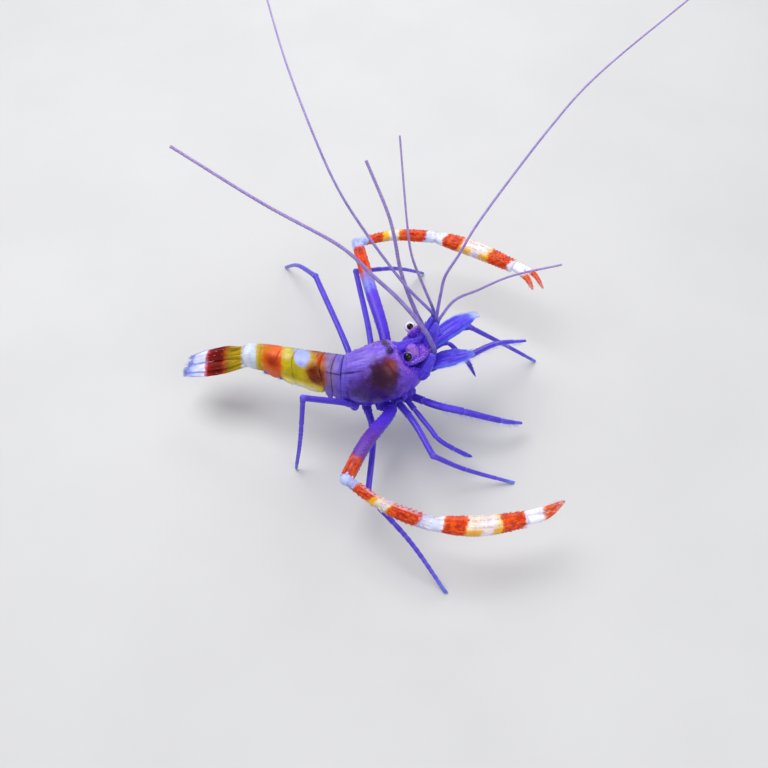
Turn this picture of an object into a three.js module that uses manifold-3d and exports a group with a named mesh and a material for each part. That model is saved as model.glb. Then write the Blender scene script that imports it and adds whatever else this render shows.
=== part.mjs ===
// A slender boxer shrimp, also called a cleaner shrimp, standing on a level floor. Millimetres, +Z up,
// +X towards the head, +Y towards the animal's left. The origin is under the middle of its bounding box.
// The trunk follows one midline, each limb and feeler follows its own line of joints, and every solid
// is a row of oval rings carried along such a line.

import * as THREE from 'three';
import { mergeVertices } from 'three/addons/utils/BufferGeometryUtils.js';
import Module from 'manifold-3d';

const wasm = await Module();
wasm.setup();

// ---------------------------------------------------------------- driving dimensions

const GAP = 0.2; // the cut between two neighbouring solids
const UP = [0, 0, 1];

// The trunk's midline, from the brow to the root of the tail fan.
const MIDLINE = [
  [7.3, 2.3, 16.9], [5.1, 1.4, 16.4], [2.6, 0.3, 16.0], [0, -0.5, 15.5], [-2.7, -0.9, 15.1],
  [-6.2, -0.8, 14.6], [-10.3, 0.3, 14.7], [-14.3, 1.5, 14.7], [-17.5, 2.7, 14.6],
  [-20.6, 4.1, 14.2], [-24.1, 5.4, 13.5],
];

// Head shell: width and height where x is, front to back.
const CARAPACE = [
  { x: 6.3, width: 6.4, height: 6.6 },
  { x: 5.4, width: 8.0, height: 9.0 },
  { x: 4.0, width: 9.2, height: 10.8 },
  { x: 2.0, width: 9.8, height: 11.6 },
  { x: 0.0, width: 10.0, height: 11.7 },
  { x: -2.5, width: 9.3, height: 10.8 },
  { x: -4.6, width: 8.4, height: 9.6 },
  { x: -6.1, width: 7.8, height: 8.8 },
];
const BROW = { slant: 2.4, start: 1.5 }; // the front edge's top is set back from its foot, from x = start on
const CARAPACE_SIDES = 24;
const CARAPACE_FLOOR = 0.74; // its flat underside, as a share of the half height
const THORAX = { front: 6.0, back: -5.6, halfWidth: 2.84, top: 4.3, bottom: 5.6, rounding: 0.4, rise: 0.56 };
const KEEL = [[1, 0], [-1, 0], [-0.9, 0.5], [-0.45, 1], [0.45, 1], [0.9, 0.5]]; // across, share of its depth

// Abdomen rings: back edge x, then width and height at that edge, and how far the side flaps hang.
const TRUNK_END = { x: -6.3, width: 7.4, height: 8.0 };
const SOMITES = [
  { x: -8.1, width: 7.3, height: 7.7, flap: 0.1 },
  { x: -10.2, width: 6.9, height: 7.2, flap: 0.2 },
  { x: -15.0, width: 6.1, height: 6.2, flap: 0.06 },
  { x: -17.5, width: 5.5, height: 5.6, flap: 0.08 },
  { x: -20.7, width: 4.8, height: 4.8, flap: 0.12 },
  { x: -24.0, width: 4.2, height: 4.0, flap: 0 },
];
const SWIMMERET = { drop: 1.6, sweep: 2.0, width: 1.2, thickness: 0.55, inset: 0.2, belly: 0.32 };
const RING_ARC = { from: -24, to: 204, points: 11 }; // a ring's arched back and sides, in degrees
const BELLY_RISE = 0.7; // the underside's depth below the midline, as a share of the half height
const FLAP = { across: 0.78, inner: 0.6, rise: 0.78 }; // a side flap's lowest stretch, as the same shares


// Tail fan. Each line's points are [share of the fan's length, distance across, rise].
const TAIL_TIP = [-36.0, 6.9, 9.3];
const TELSON = [[0.03, 0, 0.7], [0.5, 0, 0.8], [0.98, 0, 0.3]];
const TAIL_FIN_INNER = [[0.05, 1.2, -0.2], [0.4, 1.7, 0.1], [0.75, 1.6, 0], [0.99, 1.0, -0.2]];
const TAIL_FIN_OUTER = [[0.05, 1.5, -1.0], [0.4, 2.3, -0.7], [0.75, 2.2, -0.6], [0.97, 1.5, -0.8]];

const EYE_RADIUS = 0.85;
const EYES = {
  left: { root: [7.2, 3.5, 19.4], ball: [6.1, 4.9, 20.0], cornea: [5.3, 5.7, 20.5] },
  right: { root: [7.2, 2.0, 19.2], ball: [5.8, 0.7, 19.8], cornea: [4.9, -0.8, 20.0] },
};
const STALK_OVERHANG = 0.9; // how far the eyestalk reaches past its ball's centre, round the cornea
const ROSTRUM = [[4.0, 1.4, 20.4], [7.6, 2.8, 20.6], [10.9, 4.4, 21.1]];
const FACE = [[5.0, 1.5, 16.0], [6.6, 2.1, 17.0], [8.4, 3.0, 18.0]]; // between the eyestalks and the mouth

// ---------------------------------------------------------------- lines of joints
// A line is a list of points. A girth is [half width, half height] at each point of its line.

const FEELER_BASE = {
  antennule_base_left: [[7.6, 3.2, 19.7], [8.3, 3.6, 22.0], [9.2, 4.5, 24.5]],
  antennule_base_right: [[8.2, 1.9, 19.4], [9.0, 2.2, 21.8], [9.9, 3.3, 24.3]],
  antenna_base_left: [[6.9, 5.0, 15.6], [7.8, 4.8, 17.6], [8.2, 5.2, 19.2]],
  antenna_base_right: [[6.4, -1.4, 14.8], [8.2, -0.3, 17.0], [9.4, 0.7, 19.4]],
};

const FEELERS = {
  antennule_upper_left: [[9.1, 4.8, 25.0], [4.1, 5.9, 31.0], [-2.3, 8.7, 40.0], [-6.9, 11.9, 47.0],
    [-11.0, 17.8, 54.0], [-15.5, 29.5, 59.0], [-19.1, 42.7, 62.0]],
  antennule_lower_left: [[9.3, 5.5, 25.0], [7.3, 5.7, 31.0], [5.3, 6.5, 37.0], [4.4, 8.5, 43.0],
    [3.2, 16.2, 54.0]],
  antennule_upper_right: [[9.8, 3.9, 25.2], [10.3, 5.0, 29.0], [11.0, 5.7, 33.0], [13.1, 6.6, 37.0],
    [17.0, 9.7, 43.0], [27.8, 20.7, 52.0], [36.3, 28.8, 57.0], [52.7, 43.3, 62.0]],
  antennule_lower_right: [[10.4, 3.7, 24.9], [12.8, 4.5, 28.5], [16.4, 3.4, 32.0], [21.7, 2.7, 36.0],
    [29.0, 0.1, 41.0]],
  antenna_left: [[8.1, 5.3, 19.8], [6.1, 6.6, 24.0], [3.6, 7.7, 32.0], [1.7, 9.6, 42.0],
    [-2.2, 13.7, 51.0]],
  antenna_right: [[9.4, 1.0, 20.0], [7.6, 1.4, 24.4], [3.6, 3.0, 29.6], [-1.1, 4.7, 34.0], [-6.8, 6.3, 39.5],
    [-18.9, 9.1, 46.0], [-33.4, 14.7, 53.0]],
};

const FEELER_CUT = 0.003; // half the cut between a feeler's two lengths, as a share of its whole length

const SCALES = {
  antennal_scale_left: [[9.3, 4.6, 17.6], [13.4, 7.2, 19.2], [17.6, 9.6, 20.0]],
  antennal_scale_right: [[8.9, 0.7, 16.7], [12.4, 1.2, 17.5], [16.6, 2.0, 18.0]],
};

// The first front leg is the third maxilliped, the mouth leg that is held out like a walking leg.
const FRONT_LEGS = {
  mouth_leg_left: [[6.0, 2.4, 10.4], [10.3, 4.1, 12.8], [15.6, 4.9, 13.5], [21.4, 9.8, 11.5],
    [27.6, 12.9, 9.0]],
  mouth_leg_right: [[5.6, -1.4, 9.9], [10.1, -4.3, 10.8], [14.8, -4.8, 9.7], [22.0, -4.0, 6.0],
    [26.1, -2.6, 3.5]],
  leg_1_left: [[4.4, 3.2, 9.8], [8.6, 7.6, 10.8], [12.2, 9.6, 12.0], [14.9, 7.5, 11.0],
    [16.4, 6.8, 9.5], [17.7, 4.8, 7.9]],
  leg_1_right: [[4.4, -1.6, 9.9], [8.5, -7.6, 9.0], [10.6, -10.0, 8.0], [14.3, -9.9, 4.5],
    [16.6, -10.0, 3.0]],
};

// Legs that stand: hip, knee and foot, with the points between them.
const STANDING_LEGS = {
  leg_2_left: { upper: [[2.5, 3.0, 9.6], [6.2, 7.6, 12.4], [11.6, 9.9, 14.8], [16.6, 11.8, 14.0]],
    lower: [[16.6, 11.8, 14.0], [23.9, 14.1, 6.5], [30.7, 15.5, 0]] },
  leg_2_right: { upper: [[2.7, -2.0, 9.8], [6.0, -7.7, 10.2], [9.2, -14.1, 9.0]],
    lower: [[9.2, -14.1, 9.0], [15.1, -13.7, 4.4], [24.3, -13.6, 0]] },
  leg_4_left: { upper: [[-2.4, 2.4, 9.4], [-1.8, 10.3, 11.5], [-4.8, 27.6, 13.0]],
    lower: [[-4.8, 27.6, 13.0], [3.0, 34.0, 7.6], [9.2, 40.5, 0]] },
  leg_4_right: { upper: [[-2.4, -3.0, 9.0], [-1.2, -9.4, 8.6], [-2.0, -23.4, 10.5]],
    lower: [[-2.0, -23.4, 10.5], [5.0, -29.6, 6.2], [11.2, -36.0, 0]] },
  leg_5_left: { upper: [[-4.6, 2.0, 9.2], [-6.0, 8.0, 12.0], [-12.4, 23.6, 15.6]],
    lower: [[-12.4, 23.6, 15.6], [-16.6, 33.0, 9.4], [-20.3, 42.4, 0]] },
  leg_5_right: { upper: [[-4.6, -3.0, 9.2], [-6.6, -5.4, 13.0], [-12.9, -10.1, 20.0]],
    lower: [[-12.9, -10.1, 20.0], [-13.9, -11.2, 10.0], [-15.3, -10.6, 0]] },
};

// The great clawed legs: hip, knee, wrist, knuckle, then the tips of the fixed and moving fingers.
const CLAWED_LEGS = {
  left: {
    thigh: [[0.2, 2.8, 9.2], [1.0, 9.8, 12.0], [-2.0, 21.8, 14.5], [-4.6, 32.6, 16.0]],
    wrist: [[-4.6, 32.6, 16.0], [3.0, 35.6, 15.2], [11.0, 36.4, 14.0]],
    palm: [[11.0, 36.4, 14.0], [18.4, 32.6, 14.3], [26.0, 27.4, 14.5]],
    fixed: [[26.0, 27.4, 14.5], [28.2, 24.2, 14.4], [28.9, 21.4, 14.0]],
    moving: [[26.6, 27.6, 14.6], [29.6, 25.2, 14.6], [31.4, 21.9, 14.2]],
  },
  right: {
    thigh: [[0.2, -3.0, 9.4], [1.9, -5.4, 10.5], [-2.4, -14.3, 13.0], [-5.5, -23.6, 15.5]],
    wrist: [[-5.5, -23.6, 15.5], [1.0, -27.8, 13.9], [8.3, -29.9, 12.0]],
    palm: [[8.3, -29.9, 12.0], [16.2, -29.9, 11.4], [24.1, -28.3, 11.0]],
    fixed: [[24.1, -28.6, 11.0], [27.6, -27.4, 10.9], [30.6, -25.3, 11.3]],
    moving: [[24.1, -27.4, 11.3], [27.4, -26.2, 11.5], [30.2, -24.4, 11.6]],
  },
};

const GIRTHS = {
  antennuleBase: [[0.8, 0.8], [0.7, 0.65], [0.6, 0.5]],
  antennaBase: [[1.5, 1.5], [1.1, 1.05], [0.62, 0.62]],
  feeler: [[0.4, 0.4], [0.25, 0.25]],
  scale: [[1.0, 0.4], [1.95, 0.3], [1.7, 0.28], [0.3, 0.25]],
  eyestalk: [[0.7, 0.7], [1.45, 1.45], [1.1, 1.1]],
  rostrum: [[1.1, 1.0], [0.5, 0.7], [0.25, 0.3]],
  face: [[2.2, 2.2], [1.9, 1.6], [1.2, 0.9]],
  telson: [[1.4, 0.8], [1.15, 0.55], [0.5, 0.3]],
  tailFin: [[0.7, 0.5], [1.45, 0.32], [1.25, 0.28], [0.7, 0.25]],
  mouthLeg: [[0.75, 0.7], [0.8, 0.6], [0.75, 0.6], [0.55, 0.45], [0.3, 0.25]],
  legOne: [[0.5, 0.5], [0.45, 0.45], [0.42, 0.4], [0.4, 0.4], [0.25, 0.25]],
  upperLeg: [[0.75, 0.7], [0.6, 0.55], [0.5, 0.48]],
  lowerLeg: [[0.48, 0.45], [0.42, 0.4], [0.28, 0.28]],
  thigh: [[0.9, 0.9], [1.0, 0.9], [1.25, 1.15], [1.2, 1.15]],
  wrist: [[0.85, 0.85], [0.95, 0.9], [1.2, 1.1]],
  palm: [[1.15, 1.05], [1.6, 1.25], [1.35, 1.1]],
  fixedFinger: [[0.62, 0.62], [0.5, 0.5], [0.25, 0.25]],
  movingFinger: [[0.52, 0.52], [0.45, 0.45], [0.25, 0.25]],
};

const COLOURS = {
  shell: [0x8a5ae0, 0.35], limb: [0x5a3ce6, 0.4], feeler: [0xb8a0e6, 0.4], scale: [0x7a78e8, 0.35],
  red: [0xd8380c, 0.35], white: [0xe8e6f4, 0.35], yellow: [0xd0b414, 0.35], eye: [0x050508, 0.1],
};

// ---------------------------------------------------------------- shape functions

const vector = (p) => new THREE.Vector3(...p);

// Rings of points become one closed surface: quads between rings and a fan over each end.
function skinOf(rings) {
  const around = rings[0].length;
  const points = rings.flat();
  const faces = [];
  rings.slice(1).forEach((_, i) => {
    for (let j = 0; j < around; j++) {
      const k = (j + 1) % around;
      const a = i * around + j;
      const b = i * around + k;
      faces.push(a, b, b + around, a, b + around, a + around);
    }
  });
  [rings[0], rings[rings.length - 1]].forEach((ring, end) => {
    const hub = points.length;
    const first = end ? hub - around - end : 0;
    points.push(ring.reduce((sum, p) => sum.add(p), new THREE.Vector3()).divideScalar(around));
    for (let j = 0; j < around; j++) {
      const k = (j + 1) % around;
      faces.push(hub, first + (end ? j : k), first + (end ? k : j));
    }
  });
  return new THREE.BufferGeometry().setFromPoints(points).setIndex(faces);
}

const lineThrough = (points) => new THREE.CatmullRomCurve3(points.map(vector), false, 'catmullrom');

// The frame at u along a line: place, side and top directions square to it.
function frameAt(line, u, over) {
  const place = line.getPoint(u);
  const along = line.getTangent(u);
  const side = vector(over).cross(along).normalize();
  return { place, along, side, top: along.clone().cross(side) };
}

// A value that runs smoothly through equally spaced ones, at u from 0 to 1.
function between(values, u) {
  const at = Math.min(u, 1) * (values.length - 1);
  const i = Math.min(Math.floor(at), values.length - 2);
  return values[i].map((v, k) => THREE.MathUtils.lerp(v, values[i + 1][k], at - i));
}

// An oval rod along a line. grow thickens and lengthens it, so it can cut its own gap in a neighbour.
// A standing foot ends on the floor, so its last ring is laid flat there.
function rod(points, girths, { sides = 8, steps = 6, over = UP, from = 0, to = 1, foot = false } = {}) {
  return (grow = 0) => {
    const line = lineThrough(points);
    const rings = [];
    for (let i = 0; i <= steps; i++) {
      const u = THREE.MathUtils.lerp(from, to, i / steps);
      const { place, along, side, top } = frameAt(line, u, over);
      const [a, b] = between(girths, u).map((r) => r + grow);
      if (i === 0) place.addScaledVector(along, -grow);
      if (i === steps) place.addScaledVector(along, grow);
      const ring = [];
      for (let j = 0; j < sides; j++) {
        const angle = (2 * Math.PI * j) / sides;
        const p = place.clone().addScaledVector(side, a * Math.cos(angle));
        p.addScaledVector(top, b * Math.sin(angle));
        if (foot && i === steps) p.z = grow ? -grow : 0;
        ring.push(p);
      }
      rings.push(ring);
    }
    return skinOf(rings);
  };
}

// A ball centred on a place.
function ball(place, radius) {
  return (grow = 0) => new THREE.SphereGeometry(radius + grow, 12, 8).translate(...place);
}

// A closed surface as a solid that can be joined and cut, and a solid as a surface again.
function solidOf(geometry) {
  geometry.deleteAttribute('normal');
  geometry.deleteAttribute('uv');
  const merged = mergeVertices(geometry, 1e-4);
  return new wasm.Manifold(new wasm.Mesh({
    numProp: 3,
    vertProperties: new Float32Array(merged.attributes.position.array),
    triVerts: new Uint32Array(merged.index.array),
  }));
}

function geometryOf(solid) {
  const mesh = solid.getMesh();
  return new THREE.BufferGeometry()
    .setAttribute('position', new THREE.BufferAttribute(mesh.vertProperties, 3))
    .setIndex(new THREE.BufferAttribute(mesh.triVerts, 1));
}

// ---------------------------------------------------------------- the model

const shrimp = new THREE.Group();
const makers = new Map();

// Adds a node: its maker, the earlier nodes whose gap it is cut back from, and pieces joined to it.
function add(name, maker, colour, { clear = [], joined = [] } = {}) {
  let solid = solidOf(maker());
  joined.forEach((piece) => { solid = solid.add(solidOf(piece())); });
  clear.forEach((other) => { solid = solid.subtract(solidOf(makers.get(other)(GAP))); });
  solid = solid.decompose().sort((a, b) => b.volume() - a.volume())[0];
  const [hex, roughness] = COLOURS[colour];
  const finish = new THREE.MeshStandardMaterial({ color: hex, roughness, metalness: 0 });
  const mesh = new THREE.Mesh(geometryOf(solid), finish);
  mesh.name = name;
  makers.set(name, maker);
  shrimp.add(mesh);
}

// The trunk's midline by x: the place, and the side and top directions there.
const midline = lineThrough(MIDLINE);
const TALLY = 400;
const tallied = Array.from({ length: TALLY + 1 }, (_, i) => midline.getPoint(i / TALLY).x);

function trunkFrame(x) {
  const i = tallied.findIndex((value) => value <= x);
  return frameAt(midline, Math.max(i, 0) / TALLY, UP);
}

function makeCarapace(grow = 0) {
  const rings = CARAPACE.map(({ x, width, height }, i) => {
    const { place, along, side, top } = trunkFrame(x);
    if (i === 0) place.addScaledVector(along, -grow);
    if (i === CARAPACE.length - 1) place.addScaledVector(along, grow);
    return Array.from({ length: CARAPACE_SIDES }, (_, j) => {
      const angle = (2 * Math.PI * j) / CARAPACE_SIDES;
      const rise = Math.max(Math.sin(angle), -CARAPACE_FLOOR) * (height / 2 + grow);
      const nearFront = Math.max(0, (x - BROW.start) / (CARAPACE[0].x - BROW.start));
      const setBack = BROW.slant * nearFront * Math.max(0, Math.sin(angle) + 0.1);
      return place.clone().addScaledVector(side, Math.cos(angle) * (width / 2 + grow))
        .addScaledVector(top, rise).addScaledVector(along, setBack);
    });
  });
  return skinOf(rings);
}

// The breast under the head shell: a keel between the rows of hips.
function makeThorax(grow = 0) {
  const steps = 6;
  const rings = Array.from({ length: steps + 1 }, (_, i) => {
    const x = THREE.MathUtils.lerp(THORAX.front + grow, THORAX.back - grow, i / steps);
    const { place, side, top } = trunkFrame(x);
    const hull = Math.sin(Math.PI * THREE.MathUtils.lerp(0.12, 0.88, i / steps)) ** THORAX.rounding;
    const half = THORAX.halfWidth * hull + grow;
    const high = THORAX.top + (1 - hull) * THORAX.rise - grow;
    const low = THORAX.bottom * (0.8 + 0.2 * hull) + grow;
    return KEEL.map(([across, depth]) => place.clone().addScaledVector(side, across * half)
      .addScaledVector(top, -THREE.MathUtils.lerp(high, low, depth)));
  });
  return skinOf(rings);
}

// One abdomen ring: an arched back, side flaps that hang as rounded lobes, and a shallow belly arch.
function somiteRing(x, width, height, flap, shift) {
  const { place, along, side, top } = trunkFrame(x);
  const arc = Array.from({ length: RING_ARC.points }, (_, j) => {
    const angle = THREE.MathUtils.lerp(RING_ARC.from, RING_ARC.to, j / (RING_ARC.points - 1));
    return [Math.cos(THREE.MathUtils.degToRad(angle)), Math.sin(THREE.MathUtils.degToRad(angle))];
  });
  const half = [[FLAP.across, -FLAP.rise - flap], [FLAP.inner, -FLAP.rise - 0.7 * flap], [0.25, -BELLY_RISE]];
  const mirrored = half.map(([across, rise]) => [-across, rise]);
  const outline = [...arc, ...mirrored, ...half.reverse()];
  return outline.map(([across, rise]) => place.clone().addScaledVector(along, shift)
    .addScaledVector(side, (across * width) / 2).addScaledVector(top, (rise * height) / 2));
}

function makeSomite(index) {
  return (grow = 0) => {
    const front = index ? SOMITES[index - 1] : TRUNK_END;
    const back = SOMITES[index];
    const steps = 3;
    const rings = Array.from({ length: steps + 1 }, (_, i) => {
      const t = i / steps;
      const x = THREE.MathUtils.lerp(front.x - GAP / 2, back.x + GAP / 2, t);
      const swell = 0.93 + 0.07 * Math.sin(Math.PI * (0.15 + 0.55 * t));
      const width = THREE.MathUtils.lerp(front.width, back.width, t) * swell + 2 * grow;
      const height = THREE.MathUtils.lerp(front.height, back.height, t) * swell + 2 * grow;
      const flap = back.flap * Math.sin(Math.PI * (0.08 + 0.8 * t));
      const shift = i === 0 ? -grow : i === steps ? grow : 0;
      return somiteRing(x, width, height, flap, shift);
    });
    return skinOf(rings);
  };
}

// The two paddles under a ring: they slope back and spread a little.
function swimmerets(index) {
  const front = index ? SOMITES[index - 1] : TRUNK_END;
  const back = SOMITES[index];
  const { place, along, side, top } = trunkFrame((front.x + back.x) / 2 + 0.3);
  const belly = place.addScaledVector(top, -back.height * SWIMMERET.belly);
  return [-1, 1].map((hand) => {
    const root = belly.clone().addScaledVector(side, hand * back.width * SWIMMERET.inset);
    const tip = root.clone().addScaledVector(top, -SWIMMERET.drop).addScaledVector(along, SWIMMERET.sweep);
    const half = [SWIMMERET.width / 2, SWIMMERET.thickness / 2];
    const girths = [half.map((r) => r * 0.8), half, half.map((r) => r * 0.75)];
    const middle = root.clone().lerp(tip, 0.5);
    const points = [root, middle, tip].map((p) => p.toArray());
    return rod(points, girths, { sides: 6, steps: 2, over: along.toArray() });
  });
}

// ---------------------------------------------------------------- trunk

add('carapace', makeCarapace, 'shell');
add('thorax', makeThorax, 'shell', { clear: ['carapace'] });

SOMITES.forEach((somite, index) => {
  const colour = ['shell', 'shell', 'yellow', 'yellow', 'red', 'white'][index];
  const joined = index < 5 ? swimmerets(index) : [];
  add(`somite_${index + 1}`, makeSomite(index), colour, { joined });
});

// ---------------------------------------------------------------- tail fan

const fanRoot = trunkFrame(SOMITES[5].x);
const fanTip = vector(TAIL_TIP);
const fanPoint = (t, across, rise) => fanRoot.place.clone().lerp(fanTip, t)
  .addScaledVector(fanRoot.side, across).addScaledVector(fanRoot.top, rise).toArray();

const fanLine = (line, hand) => line.map(([t, across, rise]) => fanPoint(t, hand * across, rise));

add('telson', rod(fanLine(TELSON, 1), GIRTHS.telson, { steps: 5 }), 'red', { clear: ['somite_6'] });
[['left', -1], ['right', 1]].forEach(([hand, sign]) => {
  add(`tail_fin_inner_${hand}`, rod(fanLine(TAIL_FIN_INNER, sign), GIRTHS.tailFin, { sides: 6 }), 'yellow',
    { clear: ['somite_6', 'telson'] });
  add(`tail_fin_outer_${hand}`, rod(fanLine(TAIL_FIN_OUTER, sign), GIRTHS.tailFin, { sides: 6 }), 'yellow',
    { clear: ['somite_6', 'telson', `tail_fin_inner_${hand}`] });
});

// ---------------------------------------------------------------- head

Object.entries(EYES).forEach(([hand, { root, ball: middle, cornea }]) => {
  const outward = vector(cornea).sub(vector(middle)).normalize();
  const end = vector(middle).addScaledVector(outward, STALK_OVERHANG).toArray();
  add(`eye_${hand}`, ball(cornea, EYE_RADIUS), 'eye', { clear: ['carapace'] });
  add(`eyestalk_${hand}`, rod([root, middle, end], GIRTHS.eyestalk, { sides: 10, steps: 4 }), 'shell',
    { clear: [`eye_${hand}`, 'carapace'] });
});
const STALKS = ['eyestalk_left', 'eyestalk_right'];
add('rostrum', rod(ROSTRUM, GIRTHS.rostrum, { sides: 6, steps: 4 }), 'shell',
  { clear: ['carapace', ...STALKS] });
add('face', rod(FACE, GIRTHS.face, { sides: 10, steps: 4 }), 'shell',
  { clear: ['carapace', 'rostrum', ...STALKS] });
['left', 'right'].forEach((hand) => {
  const head = ['carapace', 'rostrum', 'face', `eyestalk_${hand}`];
  const [short, long] = [`antennule_base_${hand}`, `antenna_base_${hand}`];
  const other = hand === 'left' ? [] : ['antennule_base_left'];
  add(short, rod(FEELER_BASE[short], GIRTHS.antennuleBase, { sides: 7, steps: 4 }), 'limb',
    { clear: [...head, ...other] });
  add(long, rod(FEELER_BASE[long], GIRTHS.antennaBase, { steps: 4 }), 'limb',
    { clear: [...head, 'thorax', short] });
  add(`antennal_scale_${hand}`, rod(SCALES[`antennal_scale_${hand}`], GIRTHS.scale), 'scale',
    { clear: ['carapace', 'face', long, short] });
});

Object.entries(FEELERS).forEach(([name, points]) => {
  const [kind, hand] = [name.split('_')[0], name.split('_').pop()];
  const clear = [`${kind}_base_${hand}`, 'carapace', 'rostrum', ...STALKS];
  const base = name.replace(`_${hand}`, '');
  if (base === 'antennule_lower') {
    add(name, rod(points, GIRTHS.feeler, { sides: 6, steps: 11 }), 'feeler', { clear });
    return;
  }
  const near = rod(points, GIRTHS.feeler, { sides: 6, steps: 8, to: 0.5 - FEELER_CUT });
  const far = rod(points, GIRTHS.feeler, { sides: 6, steps: 8, from: 0.5 + FEELER_CUT });
  add(`${base}_near_${hand}`, near, 'feeler', { clear });
  add(`${base}_far_${hand}`, far, 'feeler');
});

// ---------------------------------------------------------------- legs

Object.entries(FRONT_LEGS).forEach(([name, points]) => {
  const girths = name.startsWith('mouth') ? GIRTHS.mouthLeg : GIRTHS.legOne;
  add(name, rod(points, girths, { sides: 6, steps: 11 }), 'limb', { clear: ['carapace', 'thorax', 'face'] });
});

Object.entries(STANDING_LEGS).forEach(([name, { upper, lower }]) => {
  const hand = name.split('_').pop();
  const base = name.replace(`_${hand}`, '');
  const over = name === 'leg_5_right' ? [1, 0, 0] : UP; // that one drops almost straight down
  add(`${base}_lower_${hand}`, rod(lower, GIRTHS.lowerLeg, { sides: 6, foot: true, over }), 'limb');
  add(`${base}_upper_${hand}`, rod(upper, GIRTHS.upperLeg, { sides: 6, steps: 8 }), 'limb',
    { clear: ['carapace', 'thorax', `${base}_lower_${hand}`] });
});

Object.entries(CLAWED_LEGS).forEach(([hand, { thigh, wrist, palm, fixed, moving }]) => {
  add(`claw_wrist_${hand}`, rod(wrist, GIRTHS.wrist, { sides: 10 }), 'red');
  add(`claw_thigh_${hand}`, rod(thigh, GIRTHS.thigh, { sides: 10, steps: 9 }), 'limb',
    { clear: ['carapace', 'thorax', `claw_wrist_${hand}`] });
  add(`claw_finger_${hand}`, rod(moving, GIRTHS.movingFinger), 'white');
  add(`claw_palm_${hand}`, rod(palm, GIRTHS.palm, { sides: 10, steps: 7 }), 'red',
    { joined: [rod(fixed, GIRTHS.fixedFinger, { steps: 5 })],
      clear: [`claw_wrist_${hand}`, `claw_finger_${hand}`] });
});

// The origin goes under the middle of the whole animal.
const box = new THREE.Box3().setFromObject(shrimp);
const middle = box.getCenter(new THREE.Vector3());
shrimp.position.set(-middle.x, -middle.y, 0);

export default shrimp;
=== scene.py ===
import math
from functools import cache, cached_property

import bpy
import numpy as np
from bpy.props import FloatProperty, FloatVectorProperty, PointerProperty
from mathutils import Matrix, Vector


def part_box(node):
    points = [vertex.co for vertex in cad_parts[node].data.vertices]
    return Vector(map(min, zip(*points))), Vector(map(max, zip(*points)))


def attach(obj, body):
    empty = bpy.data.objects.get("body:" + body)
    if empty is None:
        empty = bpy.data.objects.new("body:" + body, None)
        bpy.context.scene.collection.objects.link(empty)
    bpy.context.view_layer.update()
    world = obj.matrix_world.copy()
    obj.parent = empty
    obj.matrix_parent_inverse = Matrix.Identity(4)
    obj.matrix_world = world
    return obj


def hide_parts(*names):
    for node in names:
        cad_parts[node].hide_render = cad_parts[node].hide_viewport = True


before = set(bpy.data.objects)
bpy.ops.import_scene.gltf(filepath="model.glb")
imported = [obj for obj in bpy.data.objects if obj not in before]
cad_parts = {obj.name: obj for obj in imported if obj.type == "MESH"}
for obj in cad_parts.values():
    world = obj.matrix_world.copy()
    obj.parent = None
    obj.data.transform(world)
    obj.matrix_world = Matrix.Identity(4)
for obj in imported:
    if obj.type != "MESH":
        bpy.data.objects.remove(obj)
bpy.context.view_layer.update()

bl_info = {
    "name": "Slender Boxer Shrimp",
    "version": (1, 0, 0),
    "blender": (4, 5, 0),
    "location": "3D View > Sidebar > Shrimp",
    "description": "Builds the finished surfaces of a life-size cleaner shrimp around its solid frame",
    "category": "Add Mesh",
}

MM = 0.001
UP = (0.0, 0.0, 1.0)
SEED = 7

# ------------------------------------------------------------------ places
# Every place is in millimetres in the animal's own axes: +X to the head, +Y to its left, +Z up.
# SHIFT carries them into the frame: the left eye's centre is known in both.

EYE_RADIUS = {"left": 0.97, "right": 0.85}
CORNEAS = {"left": (5.3, 5.7, 20.5), "right": (4.9, -0.8, 20.0)}
EYE_BOX = np.array([list(corner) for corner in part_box("eye_left")]) / MM
SHIFT = EYE_BOX.mean(0) - CORNEAS["left"]

MIDLINE = [(7.3, 2.3, 16.9), (5.1, 1.4, 16.4), (2.6, 0.3, 16.0), (0, -0.5, 15.5), (-2.7, -0.9, 15.1),
           (-6.2, -0.8, 14.6), (-10.3, 0.3, 14.7), (-14.3, 1.5, 14.7), (-17.5, 2.7, 14.6),
           (-20.6, 4.1, 14.2), (-24.1, 5.4, 13.5)]
# Head shell stations: x, width, height.
CARAPACE = [(6.3, 6.4, 6.6), (5.4, 8.0, 9.0), (4.0, 9.2, 10.8), (2.0, 9.8, 11.6), (0.0, 10.0, 11.7),
            (-2.5, 9.3, 10.8), (-4.6, 8.4, 9.6), (-6.1, 7.8, 8.8)]
# How far the brow is set back at the front edge, and the x where that starts.
BROW_SLANT = 2.4
BROW_START = 1.5
# Where the underside is flattened, as a share of the half height.
CARAPACE_FLOOR = 0.74
# Abdomen plates: x at the back edge, width, height, hang of the side flaps. The first starts where the
# trunk ends, and each front edge slips PLATE_TUCK under the plate before it.
TRUNK_END = (-6.3, 7.4, 8.0, 0.0)
PLATES = [(-8.1, 7.3, 7.7, 0.10), (-10.2, 6.9, 7.2, 0.20), (-15.0, 6.1, 6.2, 0.10),
          (-17.5, 5.5, 5.6, 0.14), (-20.7, 4.8, 4.8, 0.18), (-24.0, 4.2, 4.0, 0.0)]
PLATE_TUCK = 0.55
# Where a shell folds in on itself at an end: the size of each further ring, and its move forward.
PLATE_FOLD = [(0.985, 0.05), (0.95, 0.03), (0.88, -0.12), (0.7, -0.3)]
HEAD_FRONT_FOLD = [(0.62, 2.3), (0.86, 1.2), (0.95, 0.45), (0.988, 0.07)]
HEAD_BACK_FOLD = [(0.985, 0.05), (0.95, 0.02), (0.9, -0.15), (0.76, -0.4)]
# How far each back edge swings forward on its flanks, from the head shell's on.
LEADS = (0.6, 0.9, 1.5, 0.95, 0.7, 0.4, 0.1)
TAIL_TIP = (-36.0, 6.9, 9.3)
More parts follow.
